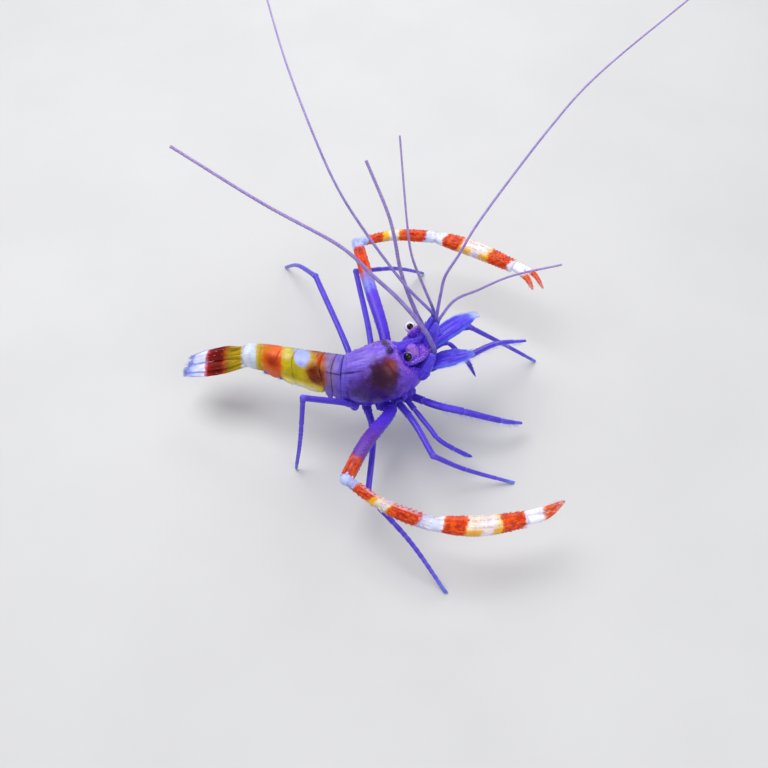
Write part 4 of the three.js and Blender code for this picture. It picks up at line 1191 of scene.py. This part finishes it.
def build_face(sizes, colours):
    """The brow spine with its teeth, and the face under it: upper lip, jaws and small mouth legs."""
    finish = limb_finish("Face", colours, (84, 40, 216), (96, 70, 230), 0.5)
    shape = Shape()
    limb(shape, ROSTRUM, ROSTRUM_GIRTHS, columns=26, density=7, keel=0.12)
    u = np.linspace(0.3, 0.93, 9)
    for angle, teeth, length in ((math.pi / 2, u, 0.62), (-math.pi / 2, u[3::2], 0.5),
                                 (0.1, u[2::2], 0.42), (math.pi - 0.1, u[2::2], 0.42)):
        limb_thorns(shape, ROSTRUM, ROSTRUM_GIRTHS, teeth, angle, 1.1, length * (1.15 - 0.5 * teeth), 0.15,
                    0.08, along=teeth, mark=0.4)
    shape.make("brow_spine", finish, "head_shell", "rostrum")

    shape = Shape()
    middle, along, side, top = Line(FACE).one(0.5)
    limb(shape, FACE, FACE_GIRTHS, columns=44, density=9, swell=lambda u: 1 + 0.03 * np.sin(24 * u))
    lip = middle - top * 1.5 + along * 0.7
    ball(shape, lip, along, 0.72, 20, 24, 1.15, mark=0.4)
    for out in (side, -side):
        jaw = middle + out * 1.05 - top * 1.9
        limb(shape, [jaw - along * 0.9, jaw, lip + out * 0.25 - top * 0.35 + along * 0.2],
             [[0.75, 0.7], [0.68, 0.62], [0.22, 0.25]], joints=(0.6,), columns=20, density=9)
        for step, reach in ((0, 1.0), (1, 0.8)):
            root = middle + out * (1.5 - 0.35 * step) - top * (3.4 + 0.7 * step) - along * (0.4 - 0.5 * step)
            bow = root + out * 0.35 + along * 1.6 * reach - top * 0.2
            tip = lip + out * (0.45 + 0.2 * step) - top * (0.9 + 0.5 * step) + along * 0.5 * reach
            limb(shape, [root, bow, tip], [[0.5, 0.42], [0.42, 0.36], [0.3, 0.26], [0.16, 0.15]],
                 joints=(0.3, 0.55, 0.8), columns=16, density=8)
    shape.make("face", finish, "head_shell", "face")


def build_eyes(sizes, colours):
    """Eyestalks swell from a narrow neck to a ball, with a brow lobe beside it; each carries a faceted
    cornea that looks along its gaze, with along counted from the middle of the black."""
    stalk, glass = stalk_finish(), cornea_finish(colours)
    for hand, cornea in CORNEAS.items():
        shape = Shape()
        neck, globe = (np.array(p) for p in EYE_ROOTS[hand])
        line = Line([neck, globe, globe + unit(np.array(cornea) - globe) * 0.9])
        u = np.concatenate([np.linspace(0, 0.62, 30), 0.62 + 0.38 * np.sin(np.linspace(0.04, 1.55, 26))])
        radius = 0.66 + 0.76 * smooth(u, 0.08, 0.55) - 0.05 * bell(u, 0.2, 0.05)
        radius = radius * np.sqrt(np.clip(1 - ((u - 0.62) / 0.381).clip(0) ** 2, 0.0015, 1))
        angles = ring_angles(52)
        shape.tubes(sweep(line, u, radius, radius, angles), along=u[:, None], flank=flank_of(angles))
        limb(shape, BROWS[hand], [[1.7, 1.0], [2.0, 1.0], [1.9, 1.1], [1.1, 0.85]], columns=40, density=9,
             offset=0.15, scale=0.45, dome=1.0)
        shape.skin(f"eyestalk_{hand}", stalk, "eyestalk")
        shape = Shape()
        # shaded is 1 on the right eye: painted shade over its cornea's pale ring.
        black, shaded = (1.0, 0.0) if hand == "left" else (0.5, 1.0)
        along = black * np.linspace(*POLES, CORNEA_GRID[0])[:, None]
        ball(shape, cornea, EYE_GAZE[hand], EYE_RADIUS[hand], *CORNEA_GRID, along=along, mark=shaded)
        shape.make(f"cornea_{hand}", glass, "eye", f"eye_{hand}")


def build_abdomen(sizes, colours):
    """Six overlapping plates, each with its lower lobes, and under the first five a pair of
    two-leaved swimming legs."""
    finish = abdomen_finish(colours)
    for index in range(len(PLATES)):
        shape = Shape()
        rings, flank = plate_rings(index)
        shape.tubes(rings, along=rings[..., 0], flank=flank)
        shape.make(f"abdomen_plate_{index + 1}", finish, "tail_shell", f"somite_{index + 1}")

    leaf = limb_finish("Swimming Legs", colours, (140, 118, 236), (176, 176, 252), 0.5)
    shape, fringe = Shape(), Shape()
    for index, (front, back) in enumerate(zip([TRUNK_END, *PLATES], PLATES[:5])):
        width, height = (front[1] + back[1]) / 2, (front[2] + back[2]) / 2
        place, along, side, top = trunk_at(front[0] * 0.42 + back[0] * 0.58)
        for out in (side, -side):
            root = place + out * 0.18 * width - top * 0.30 * height
            knee = root - top * 0.8 + along * 0.25
            limb(shape, [root, (root + knee) / 2, knee], [[0.5, 0.42], [0.45, 0.4], [0.4, 0.36]],
                 joints=(0.5,), columns=16, density=10)
            for outer, drop, reach, spread in ((1, 1.15, 1.0, 0.05), (0, 1.35, 0.82, -0.2)):
                tip = root - top * drop + along * 2.0 * reach + out * spread
                bow = knee * 0.5 + tip * 0.5 - top * 0.12
                rings = blade(shape, [knee, bow, tip], [0.28, 0.52, 0.46, 0.2], [0.13, 0.12, 0.09, 0.05],
                              26, 24, over=unit(out * 0.7 + top * 0.7), ribs=1)
                edge_hairs(fringe, rings, (0.3, 0.97), BRISTLES["swimming leg"], [0.2, 0.35, 0.45],
                           [5, 6, 7, 17, 18, 19], SEED + index * 7 + outer)
    shape.make("swimming_legs", leaf, "limb")
    bristles = bristle_finish("Pale Bristles", (120, 100, 220), (190, 190, 252))
    fringe.make("swimming_leg_bristles", bristles, "limb")


def tail_fringe(fringe, rings, length, seed):
    """Bristles of one tail blade: short ones up both edges, and a long even row round its end."""
    columns = rings.shape[1]
    for k, middle in enumerate((columns // 4, 3 * columns // 4)):
        edge_hairs(fringe, rings, (0.5, 0.93), BRISTLES["tail edge"], [0.2 * length, 0.7 * length],
                   [middle - 1, middle, middle + 1], seed + k)
    edge_hairs(fringe, rings, (0.93, 0.985), BRISTLES["tail end"], [length, length],
               range(0, columns, 2), seed + 2)


def build_tail_fan(sizes, colours):
    """The middle blade with two spined ridges, four side blades with ribs and a toothed outer edge,
    and the bristles round their ends."""
    finish, fringe = tail_finish(colours), Shape()
    bristle = sizes.bristle / MM

    shape = Shape()
    points = fan_points(TELSON, 1)
    rings = blade(shape, points, [1.4, 1.34, 1.2, 1.0, 0.8], [0.8, 0.68, 0.52, 0.4, 0.22], *TAIL_GRID,
                  ribs=2, over=FAN_TOP)
    line = Line(points, FAN_TOP)
    for hand in (1, -1):
        u = np.linspace(0.2, 0.86, 6)
        place, along, side, top = line.at(u)
        width, thick = rows_of([[0.7, 0.82], [0.55, 0.62], [0.3, 0.3]], u).T[..., None]
        thorns(shape, place + side * hand * width + top * thick, along + top * 0.5, 0.45, 0.12,
               along=place[:, 0], mark=0.6)
        u = np.array([0.55, 0.8, 0.97])
        place, along, side, top = line.at(u)
        half = rows_of([[1.35], [1.02], [0.3]], u)
        thorns(shape, place + side * hand * half, along + side * hand * 0.4, 0.5, 0.13,
               along=place[:, 0], mark=0.6)
    tail_fringe(fringe, rings, bristle, SEED)
    shape.make("tail_middle_blade", finish, "tail_fan", "telson")

    for which, line, ribs, tooth, seed in (("inner", TAIL_FINS["inner"], 5, 0.0, 3),
                                           ("outer", TAIL_FINS["outer"], 4, 0.05, 0)):
        for hand, name in ((1, "right"), (-1, "left")):
            shape = Shape()
            rings = blade(shape, fan_points(line, hand), [0.7, 1.2, 1.5, 1.56, 1.5, 1.36, 1.15],
                          [0.5, 0.4, 0.32, 0.3, 0.26, 0.2, 0.12], *TAIL_GRID, ribs=ribs, tooth=tooth,
                          edge=hand, ruffle=0.04, over=FAN_TOP)
            tail_fringe(fringe, rings, bristle, SEED + 20 + 10 * hand + seed)
            shape.make(f"tail_blade_{which}_{name}", finish, "tail_fan", f"tail_fin_{which}_{name}")
    bristles = bristle_finish("Tail Bristles", (206, 216, 252), (130, 148, 232))
    fringe.make("tail_bristles", bristles, "tail_fan")


def build_breast(sizes, colours):
    """The floor of the body between the legs: a low keel with a cross plate at each pair of legs, and
    the ten hip joints with the two of the mouth legs."""
    shape = Shape()
    x = np.concatenate([[6.0], np.linspace(5.95, -5.55, 96), [-5.6]])
    place, _, side, top = trunk_at(x)
    ends = np.sqrt(np.clip(1 - (np.abs(x - 0.2) / 5.85) ** 6, 0.02, 1))
    seams = sum(bell(x, centre, 0.16) for centre in (5.2, 3.4, 1.3, -1.1, -3.5))
    angles = ring_angles(72)
    across, rise = (np.sign(v) * np.abs(v) ** 0.6 for v in (np.cos(angles), np.sin(angles)))
    under = rise < 0
    half = (2.75 - 0.5 * smooth(x, 2.0, 6.0)) * ends
    belly = (0.66 * ends)[:, None] * rise[None] * (1 - 0.16 * seams[:, None] * under)
    belly = belly + under * 0.22 * bell(across, 0, 0.16)[None] * (1 - seams[:, None])
    rings = (place - top * 4.95)[:, None] + side[:, None] * (half[:, None] * across)[..., None]
    rings = rings + top[:, None] * belly[..., None]
    shape.tubes(rings, along=(0.5 + x / 12)[:, None], flank=flank_of(angles), mark=0.5 * seams[:, None])
    roots = [(points, 0.9) for points in FRONT_LEGS.values()]
    roots += [(points, 0.95) for points in STANDING_LEGS.values()]
    roots += [(leg["arm"], 1.15) for leg in CLAWED_LEGS.values()]
    for points, girth in roots:
        root, after = np.array(points[0], float), np.array(points[1], float)
        inward = unit((trunk_at(root[0])[0] - root) * (1, 1, 0))
        start = root + inward * 1.0 + np.array(UP) * 1.3
        limb(shape, [start, root - inward * 0.05, root + unit(after - root) * 0.75],
             girth * np.array([[1, 1], [1, 0.95], [0.86, 0.8], [0.8, 0.76]]),
             joints=(0.62,), columns=28, density=12, flare=0.1, pinch=0.16, over=(0, 0.3, 1))
    finish = limb_finish("Breast", colours, (76, 40, 196), (106, 82, 222), 0.6)
    shape.make("breast", finish, "head_shell", "thorax")


def build_feeler_bases(sizes, colours):
    """The jointed bases of the feelers with their spines, and the two leaf-like scales with a
    midrib, a toothed outer edge and a bristled inner one."""
    finish = limb_finish("Feeler Bases", colours, (74, 34, 214), (100, 86, 236), 0.45)
    for name, points in FEELER_BASES.items():
        shape = Shape()
        joints, girths = FEELER_BASE_FORMS[name.split("_")[0]]
        limb(shape, points, girths, joints=joints, columns=32, density=12, flare=0.09, pinch=0.14, keel=0.03,
             reach=0.02, dome=1.0)
        u = np.repeat(np.array(joints) - 0.04, 2)
        angle = np.tile([0.3, math.pi - 0.3], len(joints))
        limb_thorns(shape, points, girths, u, angle, 2.0, 0.42, 0.12, 0.0, along=u, mark=0.3)
        shape.make(name.replace("base", "root"), finish, "limb", name)

    leaf, fringe = scale_finish(), Shape()
    widths = [1.0, 1.5, 1.85, 1.96, 1.86, 1.5, 0.95, 0.3]
    thick = [0.42, 0.36, 0.32, 0.3, 0.26, 0.2, 0.14, 0.08]
    u, angle = np.meshgrid(np.linspace(0, 1, 90), ring_angles(60), indexing="ij")
    for hand, (name, points) in zip((-1, 1), SCALES.items()):
        shape = Shape()
        rings = blade_skin(points, widths, thick, u, angle, ribs=2, tooth=0.035, edge=hand, ruffle=0.05)
        rim = smooth(np.abs(np.cos(angle)), 0.72, 1.0)
        shape.tubes(rings, along=u * (1.0 if hand < 0 else 0.88), flank=flank_of(angle), mark=rim)
        place, along, side, _ = Line(points).one(0.9)
        thorns(shape, place + side * hand * 0.55, along + side * hand * 0.25, 1.1, 0.2, sides=8,
               along=0.95, mark=0.2)
        inner = [45, 46, 44] if hand > 0 else [14, 15, 16]
        edge_hairs(fringe, rings, (0.16, 0.98), BRISTLES["scale"], [0.25, 0.45, 0.5, 0.4], inner,
                   SEED + hand, radius=0.018)
        shape.make(name + "_leaf", leaf, "feeler_scale", name)
    bristles = bristle_finish("Scale Bristles", (110, 104, 240), (176, 196, 252))
    fringe.make("scale_bristles", bristles, "feeler_scale")


def build_feelers(sizes, colours):
    """Whip feelers of short rings: each ring's radius swells to its far end, and the whole thins from
    root to tip. One piece stands for both halves of a long feeler."""
    finish = feeler_finish(colours)
    thick, thin = sizes.feeler_root / MM, sizes.feeler_tip / MM
    for name, points in FEELERS.items():
        shape = Shape()
        stem, hand = name.rsplit("_", 1)
        socket = np.array(FEELER_BASES[f"{name.split('_')[0]}_base_{hand}"], float)
        sunk = socket[-1] - unit(socket[-1] - socket[-2]) * 0.35
        line = Line([sunk + (np.array(points[0]) - socket[-1]) * (0.45, 0.45, 0.0), *points])
        count = int(line.length / FEELER_RING)
        u = ((np.arange(count)[:, None] + [0.04, 0.5, 0.86, 0.97]) / count).ravel()
        girth = (1.4 if stem == "antenna" else 0.9) * (thin + (thick - thin) * (1 - u) ** 1.3)
        radius = girth * np.tile([0.88, 1.0, 1.08, 0.92], count)
        radius[[0, -1]] *= (0.6, 0.4)
        angles = ring_angles(FEELER_SIDES)
        shape.tubes(sweep(line, u, radius, radius, angles), along=u[:, None], flank=flank_of(angles),
                    mark=np.tile([1.0, 0.0, 0.0, 0.6], count)[:, None])
        nodes = [name] if stem == "antennule_lower" else [f"{stem}_{half}_{hand}" for half in ("near", "far")]
        shape.make(name + "_whip", finish, "feeler", *nodes)


def small_pincer(shape, start, end, girth):
    """A little pincer from start to end: two fingers that lie close, one a little shorter."""
    along = unit(end - start)
    top = unit(np.cross(along, np.cross(UP, along))) * girth
    for lift, reach in ((top, 1.0), (-top, 0.9)):
        root = start + lift * 0.4
        tip = start + (end - start) * reach + lift * 0.12
        girths = girth * np.array([[0.52, 0.5], [0.44, 0.42], [0.14, 0.14]])
        limb(shape, [root - along * 0.3, (root + tip) / 2 + lift * 0.3, tip], girths, columns=14, density=14,
             offset=0.95, scale=0.04)


def leg_bristles(fringe, points, girths, span, count, length, seed):
    """Sparse bristles along the underside of a leg, leaning to its end."""
    rng = np.random.default_rng(seed)
    u = rng.uniform(*span, count)
    angle = rng.normal(-math.pi / 2, 0.9, count)
    lean = rng.uniform(0.4, 1.0, (count, 1))
    limb_hairs(fringe, points, girths, u, angle, lean, length * rng.uniform(0.6, 1.1, count))


def build_front_legs(sizes, colours):
    """The two mouth legs, broad and bristled, and the first pair of legs with their small pincers."""
    finish, fringe = limb_finish("Front Legs", colours, colours.violet, (96, 80, 222)), Shape()
    for k, (name, points) in enumerate(FRONT_LEGS.items()):
        shape = Shape()
        if name.startswith("mouth"):
            girths = MOUTH_LEG_GIRTHS
            limb(shape, points, girths, joints=(0.12, 0.5, 0.74, 0.9), columns=28, density=5, keel=0.07,
                 flare=0.1, pinch=0.2)
            u = np.tile(np.linspace(0.16, 0.88, 14), 2)
            limb_thorns(shape, points, girths, u, np.repeat([0.35, math.pi - 0.35], 14), 0.9, 0.3, 0.09,
                        along=u, mark=0.3)
            leg_bristles(fringe, points, girths, (0.3, 0.97), BRISTLES["mouth leg"], 1.0, SEED + k)
        else:
            girths = FIRST_LEG_GIRTHS
            limb(shape, points, girths, joints=(0.1, 0.42, 0.66, 0.86), last=0.9, columns=22, density=6,
                 keel=0.04)
            small_pincer(shape, Line(points).one(0.88)[0], np.array(points[-1]), 0.42)
            leg_bristles(fringe, points, girths, (0.6, 0.9), BRISTLES["first leg"], 0.5, SEED + k)
        shape.skin(name, finish, "limb")
    bristles = bristle_finish("Leg Bristles", (120, 100, 236), (176, 190, 250))
    fringe.make("mouth_leg_bristles", bristles, "limb")


def build_standing_legs(sizes, colours):
    """The other slender legs: long jointed rods with a knob at the knee and a foot of two points. The
    last two pairs have ringed shins."""
    finish = limb_finish("Standing Legs", colours, colours.violet, (104, 86, 222), blue=0.3)
    for name, points in STANDING_LEGS.items():
        upper, lower = points[:-2], points[-3:]
        stem, hand = name.rsplit("_", 1)
        shape = Shape()
        limb(shape, upper, THIGH_GIRTHS, joints=(0.1, 0.36), columns=24, density=4, scale=0.5, keel=0.05)
        ball(shape, upper[-1], np.subtract(upper[-1], upper[-2]), 0.6, 14, 20, along=0.5, mark=0.35,
             flank=0.4)
        limb_thorns(shape, upper, THIGH_GIRTHS, np.linspace(0.2, 0.95, 12), math.pi / 2, 1.4, 0.26, 0.08,
                    along=0.4, mark=0.3)
        shape.skin(f"{stem}_upper_{hand}", finish, "limb")
        shape = Shape()
        over = (1, 0, 0) if name == "leg_5_right" else UP
        joints, flare = (0.04, 0.5, 0.82), 0.1
        if stem != "leg_2":
            joints, flare = (0.04, 0.3, *np.linspace(0.34, 0.86, 11)[1:], 0.9), 0.14
        limb(shape, lower, SHIN_GIRTHS, joints=joints, columns=22, density=5, offset=0.5, scale=0.5,
             over=over, flare=flare, pinch=0.16, keel=0.03, foot=True, last=0.955)
        place, along, side, _ = Line(lower, over).one(0.955)
        for lift, share in ((side, 1.0), (-side, 0.72)):
            tip = place + (np.array(lower[-1]) - place) * share + lift * 0.12
            tip[2] = max(tip[2], 0.1)
            limb(shape, [place - along * 0.2, (place + tip) / 2 + lift * 0.1, tip],
                 [[0.24, 0.24], [0.2, 0.2], [0.1, 0.1]], columns=12, density=16, offset=0.97, scale=0.03,
                 over=over, foot=True)
        shape.skin(f"{stem}_lower_{hand}", finish, "limb")


def thorn_rows(shape, points, part, angles, count, length, offset, span, radius, seed):
    """Rows of forward thorns along a length of a claw, one row at each angle, a little out of line."""
    rng = np.random.default_rng(seed)
    u = np.linspace(*span, count)
    u = (u[None] + (np.arange(len(angles))[:, None] % 2) * 0.5 * (u[1] - u[0])).clip(0, span[1])
    u = (u + rng.normal(0, 0.006, u.shape)).clip(0.01, 0.99)
    angle = (np.asarray(angles)[:, None] + rng.normal(0, 0.07, u.shape)).ravel()
    u = u.ravel()
    length = length * rng.uniform(0.7, 1.15, len(u))
    limb_thorns(shape, points, CLAW_GIRTHS[part], u, angle, 4 / 3, length, radius, 0.06, sides=7,
                along=offset + u, flank=flank_of(angle + CLAW_ROLL), mark=0.15, hook=-0.12)


def joint_ball(shape, points, radius, rows, columns, along):
    """A pale ball in the socket that a length of a claw starts from."""
    ball(shape, points[0], np.subtract(points[1], points[0]), radius, rows, columns, along=along, flank=0.4,
         mark=0.15)


def build_claws(sizes, colours):
    """The great clawed legs: thigh, wrist, palm with its fixed finger, and moving finger. Rows of
    forward thorns run down each, and the fingers have blunt teeth along their facing edges and
    hooked tips. along is 0 to 1 over the thigh, 1 to 2 over the wrist, then the palm and fingers."""
    finish, fringe = claw_finish(colours), Shape()
    thorn = sizes.claw_thorn / MM
    eighths = math.pi / 4 * np.arange(8)
    # The right claw has painted shade: its thigh in full, its wrist by half.
    for hand, seed, shift, painted_shade in (("left", SEED, 0.0, 0.0), ("right", SEED + 50, -0.07, 1.0)):
        arm, fixed, moving = CLAWED_LEGS[hand].values()
        thigh, wrist, palm = arm[:4], arm[3:6], arm[5:]
        shape = Shape()
        limb(shape, thigh, CLAW_GIRTHS["thigh"], joints=(0.09, 0.3), columns=40, density=5, keel=0.035,
             flare=0.08, pinch=0.12, offset=shift, painted_shade=painted_shade)
        thorn_rows(shape, thigh, "thigh", eighths[1::2] + 0.2, THIGH_THORNS, 0.8 * thorn, shift,
                   (0.33, 0.97), 0.12, seed)
        end, along, side, top = Line(thigh).one(0.985)
        for angle in (0.5, math.pi / 2, math.pi - 0.5):
            out = side * math.cos(angle) + top * math.sin(angle)
            thorns(shape, end + out, along + out * 0.5, 1.5 * thorn, 0.22, sides=8, along=0.97, mark=0.5)
        shape.skin(f"claw_thigh_{hand}", finish, "claw_shell")

        shape = Shape()
        limb(shape, wrist, CLAW_GIRTHS["wrist"], columns=40, density=6, offset=1.0, keel=0.035,
             roll=CLAW_ROLL, painted_shade=0.5 * painted_shade)
        joint_ball(shape, wrist, 1.02, 18, 30, 1.02)
        thorn_rows(shape, wrist, "wrist", eighths + 0.35, WRIST_THORNS, thorn, 1.0, (0.08, 0.97), 0.13,
                   seed + 1)
        shape.skin(f"claw_wrist_{hand}", finish, "claw_shell")

        shape, finger = Shape(), Shape()
        limb(shape, palm, CLAW_GIRTHS["palm"], columns=48, density=6, offset=2.0, keel=0.03, roll=CLAW_ROLL)
        joint_ball(shape, palm, 1.1, 18, 30, 2.02)
        tenths = math.pi / 5 * np.arange(10)
        thorn_rows(shape, palm, "palm", tenths + 0.2, PALM_THORNS, thorn, 2.0, (0.06, 0.96), 0.13, seed + 2)
        for part, points, into, inner in (("fixed", fixed, shape, 1), ("moving", moving, finger, -1)):
            girths = CLAW_GIRTHS[part]
            facing = unit(np.subtract(moving[1], fixed[1])) * inner
            points = [points[0], points[1], np.array(points[-1]) + facing * 0.3]
            limb(into, points, girths, columns=28, density=9, offset=3.0, keel=0.03, roll=CLAW_ROLL)
            u = np.linspace(0.22, 0.9, FINGER_TEETH)
            place, along = Line(points).at(u)[:2]
            root = place + facing * rows_of(girths, u)[:, :1] * 0.82
            tooth = 0.24 * (1 + 0.5 * (np.arange(len(u)) % 3 == 0))
            thorns(into, root, facing + along * 0.25, tooth, 0.15, sides=7, along=3.0 + u, mark=0.6)
            thorn_rows(into, points, part, [0.9, math.pi / 2, 2.3], FINGER_THORNS, 0.6 * thorn, 3.0,
                       (0.06, 0.6), 0.1, seed + 5)
            rng = np.random.default_rng(seed + 6 + inner)
            count = BRISTLES["finger"]
            u = rng.uniform(0.25, 0.95, count)
            angle = rng.uniform(0, 2 * math.pi, count)
            limb_hairs(fringe, points, girths, u, angle, 0.9, rng.uniform(0.35, 0.75, count))
        joint_ball(finger, moving, 0.62, 16, 24, 3.03)
        shape.skin(f"claw_palm_{hand}", finish, "claw_shell")
        finger.skin(f"claw_finger_{hand}", finish, "claw_shell")
    bristles = bristle_finish("Claw Bristles", (226, 190, 190), (250, 236, 230))
    fringe.make("claw_bristles", bristles, "claw_shell")


def floor_finish(grey):
    """A matt pale floor with a breath of unevenness."""
    f = Finish("Floor")
    base = f.mix(f.fade(f.noise(f.where, 30.0), 0.3, 0.7), (grey, grey, grey * 1.01, 1),
                 (grey * 0.96, grey * 0.96, grey * 0.97, 1))
    return f.end({"Base Color": base, "Roughness": 0.85})


CAMERA_AT = (0.7, -123.42, 158.68)
CAMERA_TILT = math.radians(40)
# Half the side of the floor, in metres.
FLOOR_REACH = 2.0
# Where the lamps point, in millimetres. A lamp's place and the side of its square, in millimetres, and
# its share of the key's power.
LAMP_AIM = (0.0, 0.0, 12.0)
LAMPS = {
    "key": ((-130, 60, 330), 240, 1.0),
    "front": ((180, -240, 220), 260, 0.55),
    "back": ((60, 300, 180), 220, 0.4),
}


def build_stage(stage):
    """A level pale floor, three soft square lights that face the shrimp, an even sky and the camera."""
    mesh = bpy.data.meshes.new("floor")
    corners = [(x * FLOOR_REACH, y * FLOOR_REACH, 0) for x, y in ((-1, -1), (1, -1), (1, 1), (-1, 1))]
    mesh.from_pydata(corners, [], [(0, 1, 2, 3)])
    mesh.materials.append(floor_finish(stage.floor_grey))
    floor = bpy.data.objects.new("floor", mesh)
    bpy.context.scene.collection.objects.link(floor)
    for name, (place, size, share) in LAMPS.items():
        data = bpy.data.lights.new(name, "AREA")
        data.size = size * MM
        data.energy = stage.key * share
        lamp = bpy.data.objects.new(name, data)
        bpy.context.scene.collection.objects.link(lamp)
        lamp.location = np.array(place) * MM
        back = unit(np.subtract(place, LAMP_AIM))
        lamp.rotation_euler = (math.acos(back[2]), 0, math.atan2(back[0], -back[1]))
    world = bpy.data.worlds.new("studio")
    world.use_nodes = True
    world.node_tree.nodes["Background"].inputs["Color"].default_value = (0.97, 0.98, 1.0, 1)
    world.node_tree.nodes["Background"].inputs["Strength"].default_value = stage.fill
    bpy.context.scene.world = world
    data = bpy.data.cameras.new("camera")
    data.lens, data.sensor_width = 50, 36
    data.clip_start, data.clip_end = 0.01, 10
    camera = bpy.data.objects.new("camera", data)
    bpy.context.scene.collection.objects.link(camera)
    camera.location = (np.array(CAMERA_AT) + SHIFT) * MM
    camera.rotation_euler = (CAMERA_TILT, 0, 0)
    bpy.context.scene.camera = camera
    bpy.context.scene.view_settings.view_transform = "Standard"


# ------------------------------------------------------------------ add-on

def run(builder, context):
    """Calls a builder with the scene's settings. Some builders need only the colours."""
    builder(context.scene.shrimp_sizes, context.scene.shrimp_colours)
    return {"FINISHED"}


class SHRIMP_OT_head_shell(bpy.types.Operator):
    """Adds the head shell with its thorns"""
    bl_idname = "shrimp.head_shell"
    bl_label = "Head Shell"

    def execute(self, context):
        return run(build_head_shell, context)


class SHRIMP_OT_face(bpy.types.Operator):
    """Adds the brow spine and the face with its jaws"""
    bl_idname = "shrimp.face"
    bl_label = "Face and Brow Spine"

    def execute(self, context):
        return run(build_face, context)


class SHRIMP_OT_eyes(bpy.types.Operator):
    """Adds the two eyestalks and their corneas"""
    bl_idname = "shrimp.eyes"
    bl_label = "Eyes"

    def execute(self, context):
        return run(build_eyes, context)


class SHRIMP_OT_abdomen(bpy.types.Operator):
    """Adds the six plates of the abdomen and the swimming legs"""
    bl_idname = "shrimp.abdomen"
    bl_label = "Abdomen"

    def execute(self, context):
        return run(build_abdomen, context)


class SHRIMP_OT_tail_fan(bpy.types.Operator):
    """Adds the five blades of the tail fan and their bristles"""
    bl_idname = "shrimp.tail_fan"
    bl_label = "Tail Fan"

    def execute(self, context):
        return run(build_tail_fan, context)


class SHRIMP_OT_breast(bpy.types.Operator):
    """Adds the breast and the hip joints of the legs"""
    bl_idname = "shrimp.breast"
    bl_label = "Breast and Hips"

    def execute(self, context):
        return run(build_breast, context)


class SHRIMP_OT_feeler_bases(bpy.types.Operator):
    """Adds the jointed feeler bases and the two feeler scales"""
    bl_idname = "shrimp.feeler_bases"
    bl_label = "Feeler Bases and Scales"

    def execute(self, context):
        return run(build_feeler_bases, context)


class SHRIMP_OT_feelers(bpy.types.Operator):
    """Adds the six long ringed feelers"""
    bl_idname = "shrimp.feelers"
    bl_label = "Feelers"

    def execute(self, context):
        return run(build_feelers, context)


class SHRIMP_OT_front_legs(bpy.types.Operator):
    """Adds the mouth legs and the first pair of legs"""
    bl_idname = "shrimp.front_legs"
    bl_label = "Mouth Legs and First Legs"

    def execute(self, context):
        return run(build_front_legs, context)


class SHRIMP_OT_standing_legs(bpy.types.Operator):
    """Adds the slender legs that it stands on"""
    bl_idname = "shrimp.standing_legs"
    bl_label = "Standing Legs"

    def execute(self, context):
        return run(build_standing_legs, context)


class SHRIMP_OT_claws(bpy.types.Operator):
    """Adds the two great clawed legs"""
    bl_idname = "shrimp.claws"
    bl_label = "Clawed Legs"

    def execute(self, context):
        return run(build_claws, context)


class SHRIMP_OT_stage(bpy.types.Operator):
    """Adds the floor, the lights, the sky and the camera"""
    bl_idname = "shrimp.stage"
    bl_label = "Stage"

    def execute(self, context):
        build_stage(context.scene.shrimp_stage)
        return {"FINISHED"}


OPERATORS = (SHRIMP_OT_stage, SHRIMP_OT_head_shell, SHRIMP_OT_face, SHRIMP_OT_eyes, SHRIMP_OT_abdomen,
             SHRIMP_OT_tail_fan, SHRIMP_OT_breast, SHRIMP_OT_feeler_bases, SHRIMP_OT_feelers,
             SHRIMP_OT_front_legs, SHRIMP_OT_standing_legs, SHRIMP_OT_claws)


class SHRIMP_PT_panel(bpy.types.Panel):
    """Sizes, colours, stage and the buttons that build each group of pieces"""
    bl_idname = "SHRIMP_PT_panel"
    bl_label = "Shrimp"
    bl_space_type = "VIEW_3D"
    bl_region_type = "UI"
    bl_category = "Shrimp"

    def draw(self, context):
        scene = context.scene
        for group in (scene.shrimp_sizes, scene.shrimp_colours, scene.shrimp_stage):
            box = self.layout.box()
            for name in group.__annotations__:
                box.prop(group, name)
        for operator in OPERATORS:
            self.layout.operator(operator.bl_idname)


SETTINGS = {"shrimp_sizes": ShrimpSizes, "shrimp_colours": ShrimpColours, "shrimp_stage": ShrimpStage}


def register():
    for group in SETTINGS.values():
        bpy.utils.register_class(group)
    for name, group in SETTINGS.items():
        setattr(bpy.types.Scene, name, PointerProperty(type=group))
    for item in (*OPERATORS, SHRIMP_PT_panel):
        bpy.utils.register_class(item)


def unregister():
    for item in (SHRIMP_PT_panel, *reversed(OPERATORS)):
        bpy.utils.unregister_class(item)
    for name in SETTINGS:
        delattr(bpy.types.Scene, name)
    for group in reversed(SETTINGS.values()):
        bpy.utils.unregister_class(group)


def main():
    register()
    for operator in OPERATORS:
        group, name = operator.bl_idname.split(".")
        getattr(getattr(bpy.ops, group), name)()


if __name__ == "__main__":
    main()
